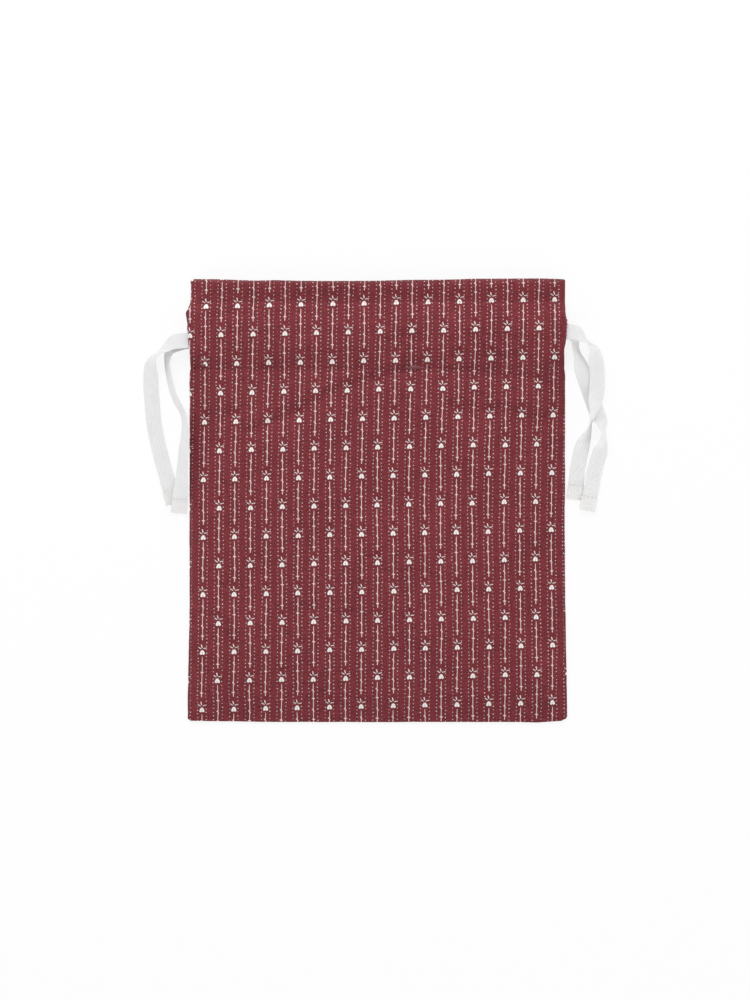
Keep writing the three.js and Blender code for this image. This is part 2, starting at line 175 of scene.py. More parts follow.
# How far the mouth's edge and the foot's edge lie below the bag's plain top and foot: (across, distance)
MOUTH_EDGE = [
    (-116, 0.0), (-103, 0.4), (-90, 0.85), (-78, 1.35), (-65, 1.1), (-40, 1.65), (-27, 1.7), (-2, 1.5),
    (24, 0.95), (49, 0.8), (62, 0.2), (88, 0.2), (100, 0.1), (112, 0.0), (119, 0.1),
]
FOOT_EDGE = [
    (-120, -0.1), (-115, 0.1), (-103, 0.35), (-90, 0.4), (-76, 0.8), (-60, 0.85), (90, 0.85), (101, 1.2),
    (110, 0.6), (120, 0.0),
]

# Soft folds pressed into the front: (points, depth, width). The steep wall lies on the line, and the
# other one falls away to the right of its way.
SOFT_FOLDS = [
    ([(-98, 38), (-90, 42), (-79, 47), (-63, 53), (-50, 59.5),
      (-39, 65), (-20, 73.5), (-4, 79), (16, 83), (40, 85)], 2.1, 3.2),
    ([(36, 82.5), (60, 82.5), (84, 80.5), (104, 79), (122, 79)], 1.9, 3.0),
    ([(36, 60), (46, 62), (53, 62), (61, 58), (80, 59), (100, 54.5), (118, 56)], 2.0, 3.6),
    ([(-119, 54), (-108, 55), (-96, 56), (-84, 59)], 1.3, 3.0),
    ([(-80, 83), (-62, 86), (-46, 91), (-30, 94)], 1.3, 4.0),
    ([(-5, 94), (10, 104), (22, 106)], 1.2, 3.4),
    ([(18, 84), (26, 90), (40, 88), (52, 96)], 1.3, 3.0),
    ([(14, 80), (19, 92), (22, 106)], 1.0, 2.2),
    ([(60, 90), (80, 93), (101, 92)], 0.9, 3.0),
    ([(100, 88), (101, 103)], 0.6, 2.0),
    ([(-122, -72), (-107, -70), (-97, -76), (-89, -88), (-80, -106)], 2.2, 3.0),
    ([(-66, -64), (-8, -67)], 0.8, 6.0),
    ([(95, -50), (94, -20), (96, 0)], 1.2, 3.2),
    ([(97, -105), (92, -66), (84, -48), (76, -18), (70, 24)], 1.2, 2.8),
    ([(102, -122), (109, -112), (121, -103)], 1.4, 3.2),
    ([(102, -135), (110, -129), (121, -126)], 1.4, 3.2),
    ([(16, -54), (28, -40), (50, -24)], 1.0, 3.5),
    ([(-60, -20), (-20, 12), (10, 20)], 0.7, 8.0),
    ([(50, 28), (51, 36), (51, 48)], 0.8, 2.4),
    ([(-119, 73), (-112, 75), (-104, 78)], 1.2, 3.2),
    ([(-116, 116), (-104, 118), (-84, 121)], 0.9, 2.6),
]

# Where each free tail lies: [out from the bag's side, down from its exit, height, lean in degrees].
# Lean 0 is flat, and 90 stands on the edge that faces away from the bag.
LEFT_FRONT_ROUTE = [
    (5, 0.3, 7.8, 4), (10.4, 1.4, 7.6, 22), (15.9, 5.2, 6.6, 58), (20.9, 9.4, 5.6, 80),
    (24.4, 14.8, 3.4, 35), (25.1, 23.4, 0.9, 5), (24.3, 37.8, 0.4, 0), (23.1, 51.5, 0.4, 0),
    (20.4, 65.7, 0.4, 0), (17.4, 77.5, 0.4, 0), (14.2, 89, 0.4, 0), (12.8, 94.5, 0.4, 0),
]
LEFT_BACK_ROUTE = [
    (5.5, 1.1, 1.7, 8), (10, 3.8, 2.6, 28), (13.3, 8.4, 4.3, 55), (14.2, 14, 4.8, 66),
    (13.4, 20.8, 4.8, 66), (11.7, 29.3, 4.8, 66), (8.7, 37.8, 4.8, 66), (5.6, 43.4, 4.8, 66),
    (3.4, 48.8, 4.8, 65), (2.9, 54.5, 4.7, 62), (3.1, 60.5, 4.5, 57), (3.9, 68, 4.1, 49),
    (4.4, 76, 3.8, 45), (5.1, 84, 3.5, 40), (5.6, 91.4, 3.5, 24), (6.4, 100.2, 2.35, -4),
]
RIGHT_FRONT_ROUTE = [
    (6.4, 0.8, 7.8, 10), (10, 3.2, 7.3, 45), (13.3, 6.1, 6.4, 78), (16.4, 9.6, 5.4, 62),
    (18.6, 13.8, 3.2, 24), (20, 20.5, 1.6, 5), (20.5, 28.7, 1.3, 0), (20.1, 38.2, 2, 4),
    (18.6, 45.6, 4.3, 29), (17.3, 51, 6.9, 60), (15.9, 58.3, 6.3, 80), (14.4, 63.3, 4.9, 66),
    (11.9, 69.5, 2.8, 30), (9.8, 78, 0.7, 4), (8.2, 87, 0.4, 0), (7.1, 97.1, 0.4, 0),
]
RIGHT_BACK_ROUTE = [
    (3.8, 0.8, 2.5, 24), (5.6, 3.2, 3.7, 44), (6.1, 6.4, 4.4, 55), (6.5, 9.8, 4.75, 62),
    (7.9, 15.2, 4.6, 58), (10.5, 22.8, 1.6, 12), (13.3, 31.1, 0.4, 0), (16.4, 40.1, 0.4, 0),
    (19.4, 48.5, 0.4, 0), (20.9, 52, 0.6, 2), (21.6, 54.4, 0.9, 4), (22.4, 56.8, 2.7, 28),
    (22.8, 58.6, 4.1, 50), (23.5, 61, 4.7, 63), (24.2, 64.6, 4.95, 71), (23.8, 69.6, 4.3, 56),
    (22.4, 75.6, 1.6, 14), (19.3, 86.9, 0.5, 0), (17.4, 96.4, 1.1, 5), (15.8, 104.4, 1.4, 7),
]
ROUTES = {
    "left": {"front": LEFT_FRONT_ROUTE, "back": LEFT_BACK_ROUTE},
    "right": {"front": RIGHT_FRONT_ROUTE, "back": RIGHT_BACK_ROUTE},
}
SIDES = {"left": -1, "right": 1}


# Sizes and colours in the sidebar

LENGTH = {"unit": "LENGTH", "precision": 4}
THICKNESS = {"unit": "LENGTH", "precision": 5}
COLOUR = {"size": 3, "min": 0, "max": 1, "subtype": "COLOR"}


class GiftBagSizes(bpy.types.PropertyGroup):
    bag_height: FloatProperty(
        name="Height", description="Mouth to foot", default=BACK_HIGH.y - BACK_LOW.y,
        min=0.1, max=0.6, **LENGTH,
    )
    top_width: FloatProperty(
        name="Width at the mouth", description="Side seam to side seam", default=0.2376,
        min=0.1, max=0.6, **LENGTH,
    )
    foot_width: FloatProperty(
        name="Width at the foot", description="The sides flare a little towards the foot",
        default=BACK_HIGH.x - BACK_LOW.x, min=0.1, max=0.6, **LENGTH,
    )
    header: FloatProperty(
        name="Header", description="Mouth to the upper stitch line", default=0.015,
        min=0.008, max=0.04, **LENGTH,
    )
    cloth: FloatProperty(
        name="Cloth", description="Thickness of one layer of cloth", default=0.0004,
        min=0.0002, max=0.001, **THICKNESS,
    )
    tape_width: FloatProperty(
        name="Tape width", description="Width of the drawstring tape", default=0.0097,
        min=0.005, max=0.02, **LENGTH,
    )
    tape_thickness: FloatProperty(
        name="Tape thickness", description="Thickness of the drawstring tape",
        default=RUN_HIGH.z - RUN_LOW.z, min=0.0003, max=0.001, **THICKNESS,
    )
    stitch: FloatProperty(
        name="Stitch length", description="Length of one machine stitch", default=0.0026,
        min=0.0015, max=0.005, **LENGTH,
    )
    crumple: FloatProperty(
        name="Crumple", description="How strongly the soft folds and creases show", default=1.0,
        min=0.0, max=1.5, subtype="FACTOR",
    )


class GiftBagColours(bpy.types.PropertyGroup):
    ground: FloatVectorProperty(
        name="Cloth", description="Burgundy ground of the cloth", default=(0.192, 0.0318, 0.0393), **COLOUR,
    )
    ink: FloatVectorProperty(
        name="Print", description="Off-white printed buds", default=(0.99, 0.96, 0.93), **COLOUR,
    )
    line_ink: FloatVectorProperty(
        name="Stems", description="Paler printed stems and dots", default=(0.87, 0.70, 0.70), **COLOUR,
    )
    reverse: FloatVectorProperty(
        name="Reverse", description="Unprinted back of the cloth", default=(0.28, 0.10, 0.11), **COLOUR,
    )
    tape: FloatVectorProperty(
        name="Tape", description="Natural white cotton tape", default=(0.915, 0.912, 0.912), **COLOUR,
    )
    # The tape's back faces, which show on the folded ends: a warmer colour, painted a little brighter to make
    # up for the weaker light on the folded ends
    tape_back: FloatVectorProperty(
        name="Tape back", description="The creamier back of the tape", default=(0.93, 0.918, 0.898), **COLOUR,
    )
    thread: FloatVectorProperty(
        name="Thread", description="Sewing thread of the bag", default=(0.17, 0.040, 0.048), **COLOUR,
    )


# Plain mathematics


def step(value, low, high):
    """0 below low, 1 above high, smooth between them."""
    t = np.clip((np.asarray(value, float) - low) / (high - low), 0, 1)
    return t * t * (3 - 2 * t)


def from_table(value, table):
    """A table's value, straight from each entry to the next."""
    at, to = np.array(table, float).T
    return np.interp(value, at, to)


def rough(x, y, spacing, seed):
    """Smooth random values from -1 to 1 on a lattice of the given spacing."""
    lattice = np.random.RandomState(seed).uniform(-1, 1, (64, 64))
    a, b = np.asarray(x, float) / spacing + 640, np.asarray(y, float) / spacing + 640
    i, j = np.floor(a).astype(int), np.floor(b).astype(int)
    u, v = a - i, b - j
    u, v = u * u * (3 - 2 * u), v * v * (3 - 2 * v)
    near = lattice[i % 64, j % 64] * (1 - u) + lattice[(i + 1) % 64, j % 64] * u
    far = lattice[i % 64, (j + 1) % 64] * (1 - u) + lattice[(i + 1) % 64, (j + 1) % 64] * u
    return near * (1 - v) + far * v


def valley(x, y, points, depth, width):
    """A soft fold along a line through points: it fades at both ends, and one of its sides is steeper."""
    nearest, beside, along = np.full(np.shape(x), 1e9), np.zeros(np.shape(x)), np.zeros(np.shape(x))
    points = np.array(points, float)
    lengths = np.linalg.norm(np.diff(points, axis=0), axis=1)
    total, before = lengths.sum(), 0.0
    for start, end, length in zip(points, points[1:], lengths):
        way = (end - start) / length
        ahead, aside = x - start[0], y - start[1]
        t = np.clip(ahead * way[0] + aside * way[1], 0, length)
        away = np.hypot(ahead - t * way[0], aside - t * way[1])
        closer = away < nearest
        signed = np.where(aside * way[0] - ahead * way[1] > 0, away, -away)
        nearest, beside = np.where(closer, away, nearest), np.where(closer, signed, beside)
        along = np.where(closer, before + t, along)
        before += length
    fade = step(along, 0, FOLD_FADE * total) * (1 - step(along, (1 - FOLD_FADE) * total, total))
    beside = beside + FOLD_SHIFT * width
    return -depth * fade * np.exp(-((beside / np.where(beside > 0, width, FOLD_SLOPE * width)) ** 2))


def spaced(low, high, spacing, fine=()):
    """Values from low to high at about one spacing, and closer where fine says: (from, to, spacing)."""
    values = list(np.linspace(low, high, max(2, int(round((high - low) / spacing)) + 1)))
    for start, end, close in fine:
        values = [v for v in values if not start < v < end]
        values += list(np.linspace(start, end, max(2, int(round((end - start) / close)) + 1)))
    values = np.unique(np.round([v for v in values if low <= v <= high], 4))
    keep = [values[0]]
    for v in values[1:]:
        if v - keep[-1] > 0.12:
            keep.append(v)
    keep[-1] = high
    return np.array(keep)


class BagShape:
    """The bag's surfaces in millimetres, from the sizes in the sidebar."""

    def __init__(self, sizes):
        self.half_height = sizes.bag_height / MM / 2
        self.top_half = sizes.top_width / MM / 2
        self.foot_half = sizes.foot_width / MM / 2
        self.cloth = sizes.cloth / MM
        self.tape = sizes.tape_thickness / MM
        self.tape_width = sizes.tape_width / MM
        self.stitch = sizes.stitch / MM
        self.crumple = sizes.crumple
        layer = self.cloth + GAP
        self.layer = layer
        self.rim = EDGE_LIFT + 2 * self.cloth + GAP
        self.back_tape = 2 * layer
        self.back_facing = self.back_tape + self.tape + GAP
        self.front_facing = self.back_facing + self.cloth + MOUTH_OPENING
        self.front_tape = self.front_facing + layer
        self.front_hem = self.front_tape + self.tape + GAP
        self.channel_top = self.front_hem + layer + self.cloth
        self.body_top = self.channel_top + FILL_HEIGHT
        self.exit = {"left": self.half_height - LEFT_EXIT_DROP, "right": self.half_height - RIGHT_EXIT_DROP}
        pitch = self.tape_width + TAPE_SPACING
        rise = self.exit["right"] - pitch - self.exit["left"]
        self.tilt = math.atan2(rise, 2 * self.top_half)
        self.facing_half = self.top_half - FACING_INSET
        drift = math.tan(self.tilt) * (self.top_half + self.facing_half)
        self.lowest_tape = self.exit["left"] + drift - self.tape_width / 2
        self.highest_tape = self.exit["right"] - drift + self.tape_width / 2
        self.upper_stitch = self.half_height - sizes.header / MM
        self.lower_stitch = self.lowest_tape - STITCH_EASE
        self.slit_foot = self.lower_stitch - SLIT_FOOT_EASE
        self.slit_head = self.upper_stitch + SLIT_HEAD_EASE
        self.facing_foot = self.lower_stitch - FACING_HEM
        self.turn_centre = self.facing_half + GAP
        self.side_level = (self.back_facing + self.front_facing + self.cloth) / 2

    def half_width(self, y):
        flare = 1 - step(y + self.half_height, 0, FLARE_HEIGHT)
        return self.top_half + flare * (self.foot_half - self.top_half)

    def pulled(self, x, y):
        """The front's flat pattern place: the folds draw its print a little sideways at mid height."""
        share = 0.35 + 0.65 * step(x, -97, 65)
        level = 15 - 28 * step(x, 0, 100)
        return np.stack([x + PRINT_PULL * share * np.exp(-(((y - level) / PULL_REACH) ** 2)), y], -1)

    def side_edge(self, side, y, table):
        """Distance from the middle to a layer's side edge, with its small waves and rounded foot corner."""
        corner, room = (RIGHT_CORNER, RIGHT_ROOM) if side > 0 else (LEFT_CORNER, LEFT_ROOM)
        wave = 0.16 * rough(y, side * 50, 9, 11) + 0.07 * rough(y, side * 80, 3.1, 12)
        over = np.clip((corner - (np.asarray(y, float) + self.half_height)) / corner, 0, 1)
        return self.half_width(y) + room + from_table(y, table) + wave - corner * (1 - np.sqrt(1 - over**2))

    def mouth_edge(self, x):
        plain = self.half_height - from_table(x, MOUTH_EDGE)
        return plain + 0.14 * rough(x, 7, 13, 21) + 0.05 * rough(x, 9, 3.3, 22)

    def swell(self, distance, width):
        return 1 - (1 - np.clip(distance / width, 0, 1)) ** SWELL_CURVE

    def slit_opening(self, y):
        foot = step(y, self.slit_foot, self.lowest_tape + 4)
        head = 1 - step(y, self.highest_tape, self.slit_head)
        return np.minimum(foot, head)

    def seam_puckers(self, x, y, seed):
        """Little waves square to the side seams and the foot seam."""
        sewn = 1 - self.slit_opening(y)
        side = np.abs(x)
        from_side = np.clip(self.half_width(y) - side, 0, None)
        from_foot = np.clip(y + self.half_height, 0, None)
        beside = rough(y, np.sign(x) * 90, 4.6, seed) * np.exp(-from_side / PUCKER_REACH) * sewn
        below = rough(x, 40, 5.2, seed + 1) * np.exp(-from_foot / PUCKER_REACH)
        rise = step(from_side, 0, 3) * step(from_foot, 0, 3)
        return PUCKER_HEIGHT * (beside + below) * rise

    def stitch_puckers(self, x, y, seed):
        """The cloth is drawn in along the two stitch lines of the channel, with small waves beside them."""
        total = 0.0
        for line, phase in ((self.upper_stitch, 0), (self.lower_stitch, 31)):
            away = np.abs(y - line)
            total = total - STITCH_DIP * np.exp(-((away / 1.1) ** 2))
            total = total + STITCH_WAVE * rough(x + phase, y / 6, 3.9, seed) * np.exp(-away / 4.0)
        return total

    def creases(self, x, y, seed):
        """Broad unevenness and small creases of soft cotton: each a height, and how far apart they lie."""
        broad = 0.75 * rough(x, y, 38, seed) + 0.32 * rough(x + 0.5 * y, y - 0.4 * x, 17, seed + 1)
        small = 0.090 * rough(x + 0.3 * y, y, 6.5, seed + 2) + 0.030 * rough(x, y, 2.7, seed + 3)
        return broad + small

    def channel_fullness(self, x, y):
        """The channel swells over the tapes, and the header rolls over at the mouth."""
        middle = (self.upper_stitch + self.lower_stitch) / 2
        ridge = middle - 1 + 5 * step(x, -30, 40) + 2.5 * rough(x, 3, 41, 33)
        span = np.where(y > ridge, self.upper_stitch - ridge, ridge - self.lower_stitch)
        swollen = CHANNEL_SWELL * np.clip(1 - ((y - ridge) / span) ** 2, 0, 1)
        for line in (self.upper_stitch, self.lower_stitch):
            swollen = swollen - STITCH_HOLLOW * np.exp(-(((y - line) / 6.5) ** 2))
        swollen = swollen * (0.9 + 0.35 * rough(x, 5, 47, 31))
        rise = HEADER_SWELL * (0.85 + 0.4 * rough(x, 8, 60, 35))
        header = rise * step(y, self.upper_stitch + 0.5, self.upper_stitch + 11.5)
        header = header - MOUTH_ROLL * np.clip((y - self.half_height + 4) / 4, 0, 1) ** 2
        # Each tape shows through a little all along the channel, the right one more
        for name, side, relief in (("left", -1, 0.3), ("right", 1, 0.55)):
            centre = self.exit[name] + self.tilt * (x - side * self.top_half)
            swollen = swollen + relief * np.exp(-(((y - centre) / (0.45 * self.tape_width)) ** 4))
        return swollen + header

    def plain_front(self, x, y):
        """Height of the front's printed face without its folds and creases."""
        near = step(y, self.slit_foot - SIDE_SWELL, self.slit_foot)
        inner = self.half_width(y) - np.abs(x)
        side = self.swell(inner, SIDE_SWELL + (SLIT_SWELL - SIDE_SWELL) * near)
        opening = self.slit_opening(y)
        foot = self.swell(y + self.half_height, FOOT_SWELL)
        lift = np.minimum(opening + (1 - opening) * side, foot)
        fall = step(y, self.slit_foot - SIDE_SWELL, self.facing_foot)
        crown = self.body_top + (self.channel_top - self.body_top) * fall
        crown = crown - MOUTH_DROOP * step(y, self.highest_tape, self.half_height)
        return self.rim + (crown - self.rim) * lift

    def front(self, x, y):
        """Height of the front's printed face."""
        x, y = np.asarray(x, float), np.asarray(y, float)
        inner = self.half_width(y) - np.abs(x)
        body = 1 - step(y, self.slit_foot - 14, self.facing_foot)
        inland = step(inner, 0, 16) * step(y + self.half_height, 0, 16)
        loose = inland * (0.25 + 0.75 * body)
        detail = loose * self.creases(x, y, 41)
        detail = detail + inland * sum(valley(x, y, *fold) for fold in SOFT_FOLDS)
        detail = detail + step(inner, 2, 18) * self.channel_fullness(x, y)
        detail = detail + self.stitch_puckers(x, y, 51) * step(inner, -1, 8)
        return self.plain_front(x, y) + self.crumple * (detail + self.seam_puckers(x, y, 61))

    def back(self, x, y):
        """Height of the back's printed face, which lies downwards."""
        x, y = np.asarray(x, float), np.asarray(y, float)
        sewn = 1 - self.slit_opening(y)
        inner = self.half_width(y) - np.abs(x)
        side = 1 - step(inner, 0, EDGE_LIFT_WIDTH)
        foot = 1 - step(y + self.half_height, 0, EDGE_LIFT_WIDTH)
        waves = 0.05 + 0.05 * rough(x, y, 21, 71)
        return EDGE_LIFT * np.maximum(side * sewn, foot) + waves * step(inner, 0, 12)

    def channel(self, y):
        """1 between the stitch lines, where the facing hangs clear of the panel."""
        lower = step(y, self.lower_stitch, self.lower_stitch + STITCH_RAMP)
        top = self.highest_tape + GAP
        return np.minimum(lower, 1 - step(y, top, top + STITCH_RAMP))


# Mesh building


class Sheets:
    """Gathers patches of a cloth piece, each a grid of points in millimetres with its flat pattern place."""

    def __init__(self):
        self.points, self.faces, self.flat, self.edge = [], [], [], []

    def patch(self, points, flat, keep=None, turned=False, edge=None):
        points, flat = np.asarray(points, float), np.asarray(flat, float)
        rows, columns = points.shape[:2]
        first = sum(len(p) for p in self.points)
        number = first + np.arange(rows * columns).reshape(rows, columns)
        self.points.append(points.reshape(-1, 3))
        self.flat.append(flat.reshape(-1, 2))
        self.edge.append(np.zeros(rows * columns) if edge is None else np.asarray(edge, float).ravel())
        corners = np.stack([number[:-1, :-1], number[:-1, 1:], number[1:, 1:], number[1:, :-1]], -1)
        if keep is not None:
            corners = corners[keep]
        corners = corners.reshape(-1, 4)
        self.faces.append(corners[:, ::-1] if turned else corners)

    def mesh(self, name):
        points = np.concatenate(self.points) * MM
        faces = np.concatenate(self.faces)
        mesh = bpy.data.meshes.new(name)
        mesh.from_pydata(points.tolist(), [], faces.tolist())
        flat = np.concatenate(self.flat)[faces.ravel()] * MM
        layer = mesh.uv_layers.new(name="pattern")
        layer.data.foreach_set("uv", flat.astype(np.float32).ravel())
        wear = mesh.attributes.new("fold_edge", "FLOAT", "POINT")
        wear.data.foreach_set("value", np.concatenate(self.edge).astype(np.float32))
        shape = bmesh.new()
        shape.from_mesh(mesh)
        bmesh.ops.remove_doubles(shape, verts=shape.verts, dist=WELD * MM)
        loose = [v for v in shape.verts if not v.link_faces]
        bmesh.ops.delete(shape, geom=loose, context="VERTS")
        shape.to_mesh(mesh)
        shape.free()
        mesh.update()
        return mesh


def new_piece(name, mesh, materials):
    """Adds a piece with its materials, smooth shaded."""
    piece = bpy.data.objects.new(name, mesh)
    bpy.context.scene.collection.objects.link(piece)
    for material in materials:
        mesh.materials.append(material)
    mesh.polygons.foreach_set("use_smooth", np.ones(len(mesh.polygons), bool))
    return piece


def only(piece):
    """Selects one piece and nothing else."""
    bpy.ops.object.select_all(action="DESELECT")
    piece.select_set(True)
    bpy.context.view_layer.objects.active = piece


def thicken(piece, thickness, reverse=True):
    """Gives a sheet its thickness on the side away from its printed face, and applies it."""
    only(piece)
    wall = piece.modifiers.new("wall", "SOLIDIFY")
    wall.thickness = thickness * MM
    wall.offset = -1
    wall.use_even_offset = False
    wall.use_quality_normals = True
    if reverse:
        wall.material_offset = 1
        wall.material_offset_rim = 1
    bpy.ops.object.modifier_apply(modifier=wall.name)
    if len(piece.data.polygons) == 0:
        raise RuntimeError(f"{piece.name} lost its faces")


def turn_over(start, length, radius, out, inward):
    """Places along an edge that turns over and runs back: (outward, depth) for each length."""
    length = np.asarray(length, float)
    angle = np.minimum(length / radius, math.pi)
    along = radius * np.sin(angle) - np.clip(length - math.pi * radius, 0, None)
    depth = radius * (1 - np.cos(angle))
    return start + out * along, inward * depth


def curve_through(points, steps):
    """Places and directions along a centripetal curve through points, steps to each stretch."""
    points = [np.array(p, float) for p in points]
    points = [2 * points[0] - points[1], *points, 2 * points[-1] - points[-2]]
    places, ways = [], []
    for i in range(1, len(points) - 2):
        p0, p1, p2, p3 = points[i - 1 : i + 3]
        d0, d1, d2 = (math.sqrt(np.linalg.norm(b - a)) for a, b in ((p0, p1), (p1, p2), (p2, p3)))
        t1 = ((p1 - p0) / d0 - (p2 - p0) / (d0 + d1) + (p2 - p1) / d1) * d1
        t2 = ((p2 - p1) / d1 - (p3 - p1) / (d1 + d2) + (p3 - p2) / d2) * d1
        last = i == len(points) - 3
        for j in range(steps + (1 if last else 0)):
            t = j / steps
            bend, twist = -3 * p1 + 3 * p2 - 2 * t1 - t2, 2 * p1 - 2 * p2 + t1 + t2
            places.append(p1 + t1 * t + bend * t**2 + twist * t**3)
            way = t1 + 2 * bend * t + 3 * twist * t**2
            ways.append(way / np.linalg.norm(way))
    return np.array(places), np.array(ways)


TAPE_STEPS = 10  # places between two points of a route


def tail_frames(shape, side_name, face):
    """Places, directions, widths and normals along a free tail, as it lies on the table."""
    side = SIDES[side_name]
    exit_y = shape.exit[side_name]
    level = (shape.front_tape if face == "front" else shape.back_tape) + shape.tape / 2
    route = [(GAP, 0, level, 0), *ROUTES[side_name][face]]
    points = [(side * (shape.top_half + out), exit_y - down, z) for out, down, z, _ in route]
    places, ways = curve_through(points, TAPE_STEPS)
    outward = np.array([side * math.cos(shape.tilt), side * math.sin(shape.tilt), 0.0])
    start = np.array([side * shape.top_half, exit_y, level])
    ways[0] = outward
    count = len(places) - 1
    frames = [(start, outward, *crosswise(outward, 0, side))]
    for i, place in enumerate(places):
        before = min(i // TAPE_STEPS, len(route) - 2)
        share = i / TAPE_STEPS - before
        lean = route[before][3] * (1 - share) + route[before + 1][3] * share
        ease = min(TAPE_STEPS, i, count - i)
        way = ways[i - ease : i + ease + 1].sum(0)
        way /= np.linalg.norm(way)
        frames.append((place, way, *crosswise(way, lean, side)))
    return frames


def crosswise(way, lean, side):
    """Width and upward normal of a strip that runs along way and leans by an angle in degrees."""
    flat = np.array([way[1], -way[0], 0.0]) * side
    flat /= np.linalg.norm(flat)
    up = -side * np.cross(way, flat)
    angle = math.radians(lean)
    width = flat * math.cos(angle) + up * math.sin(angle)
    return width, -side * np.cross(way, width)


# The tape's outline: (share of the width, share of the thickness). SELVEDGE is its upper right quarter.
SELVEDGE = [(0.5, 0.18), (0.492, 0.42), (0.47, 0.52), (0.42, 0.50), (0.25, 0.46)]
UNDERSIDE = [(-w, -h) for w, h in SELVEDGE] + [(0, -0.46)] + [(w, -h) for w, h in reversed(SELVEDGE)]
TAPE_SECTION = UNDERSIDE + [(-w, -h) for w, h in UNDERSIDE]


def tape_mesh(name, frames, width, thickness, start=0.0, seed=0, wave=0.1):
    """A woven tape through frames, closed at both ends, with its length and width as its pattern."""
    places = np.array([f[0] for f in frames])
    lengths = start + np.concatenate([[0], np.cumsum(np.linalg.norm(np.diff(places, axis=0), axis=1))])
    count = len(TAPE_SECTION)
    points, flat = [], []
    hand = 1 if np.dot(np.cross(frames[0][2], frames[0][1]), frames[0][3]) > 0 else -1
    for (place, _, across, up), length in zip(frames, lengths):
        left = 1 + wave * 0.02 * rough(length, 5, 2.2, seed + 81)
        right = 1 + wave * 0.02 * rough(length, 9, 2.2, seed + 82)
        for w, h in TAPE_SECTION:
            spread = w * width * (left if w < 0 else right)
            points.append(place + across * spread + up * h * thickness)
            flat.append((hand * w * width, length))
    faces, under = [], []
    for i in range(len(frames) - 1):
        for j in range(count):
            k = (j + 1) % count
            faces.append((i * count + j, i * count + k, (i + 1) * count + k, (i + 1) * count + j))
            under.append(TAPE_SECTION[j][1] < 0 and TAPE_SECTION[k][1] < 0)
    last = (len(frames) - 1) * count
    faces.append(tuple(range(count - 1, -1, -1)))
    faces.append(tuple(range(last, last + count)))
    under += [False, False]
    mesh = bpy.data.meshes.new(name)
    mesh.from_pydata((np.array(points) * MM).tolist(), [], faces)
    layer = mesh.uv_layers.new(name="pattern")
    corners = np.zeros(len(mesh.loops), np.int32)
    mesh.loops.foreach_get("vertex_index", corners)
    layer.data.foreach_set("uv", (np.array(flat)[corners] * MM).astype(np.float32).ravel())
    mesh.polygons.foreach_set("material_index", np.array(under, np.int32))
    outward(mesh)
    return mesh


def crisp(piece):
    """Keeps a tape's cut ends flat and the rest smooth."""
    only(piece)
    bpy.ops.object.shade_smooth_by_angle(angle=math.radians(75))


def outward(mesh):
    """Turns a closed mesh's faces outwards."""
    shape = bmesh.new()
    shape.from_mesh(mesh)
    bmesh.ops.recalc_face_normals(shape, faces=shape.faces)
    shape.to_mesh(mesh)
    shape.free()
    mesh.update()


def one_stitch(length):
    """Models a single stitch: a slim pointed bead along X, whose ends dip into the cloth."""
    bpy.ops.object.select_all(action="DESELECT")
    bpy.ops.mesh.primitive_uv_sphere_add(segments=6, ring_count=5, radius=0.5)
    stitch = bpy.context.active_object
    bpy.ops.object.mode_set(mode="EDIT")
    bpy.ops.mesh.select_all(action="SELECT")
    bpy.ops.transform.rotate(value=math.pi / 2, orient_axis="Y", center_override=(0, 0, 0))
    bpy.ops.transform.resize(value=(length, THREAD_WIDTH, THREAD_HEIGHT), center_override=(0, 0, 0))
    bpy.ops.object.mode_set(mode="OBJECT")
    points = np.array([v.co for v in stitch.data.vertices])
    faces = [tuple(p.vertices) for p in stitch.data.polygons]
    points[:, 2] -= STITCH_BEND * (points[:, 0] / length) ** 2
    data = stitch.data
    bpy.data.objects.remove(stitch)
    bpy.data.meshes.remove(data)
    return points, faces


def row_of_stitches(name, lines, length, material, gap=STITCH_GAP):
    """Copies one stitch along lines. A line is a list of (place, up) in millimetres."""
    shape, faces = one_stitch(length)
    all_points, all_faces = [], []
    for line in lines:
        places = np.array([p for p, _ in line], float)
        ups = np.array([u for _, u in line], float)
        run = np.concatenate([[0], np.cumsum(np.linalg.norm(np.diff(places, axis=0), axis=1))])
        count = max(1, int(run[-1] // (length + gap)))
        pitch = run[-1] / count
        for i in range(count):
            ends = [(i + 0.5) * pitch - 0.45 * length, (i + 0.5) * pitch + 0.45 * length]
            a, b = (np.array([np.interp(t, run, places[:, k]) for k in range(3)]) for t in ends)
            up = np.array([np.interp((i + 0.5) * pitch, run, ups[:, k]) for k in range(3)])
            way = (b - a) / np.linalg.norm(b - a)
            side = np.cross(up, way)
            side /= np.linalg.norm(side)
            up = np.cross(way, side)
            # No two stitches lie quite the same way
            turn = 0.035 * math.sin(7.3 * i + 1.7 * len(all_points) % 5)
            way, side = way + turn * side, side - turn * way
            first = len(all_faces) // len(faces) * len(shape)
            placed = (a + b) / 2 + shape[:, :1] * way + shape[:, 1:2] * side + shape[:, 2:] * up
            all_points.append(placed)
            all_faces += [tuple(first + v for v in face) for face in faces]
    mesh = bpy.data.meshes.new(name)
    mesh.from_pydata((np.concatenate(all_points) * MM).tolist(), [], all_faces)
    outward(mesh)
    return new_piece(name, mesh, [material])


# Materials


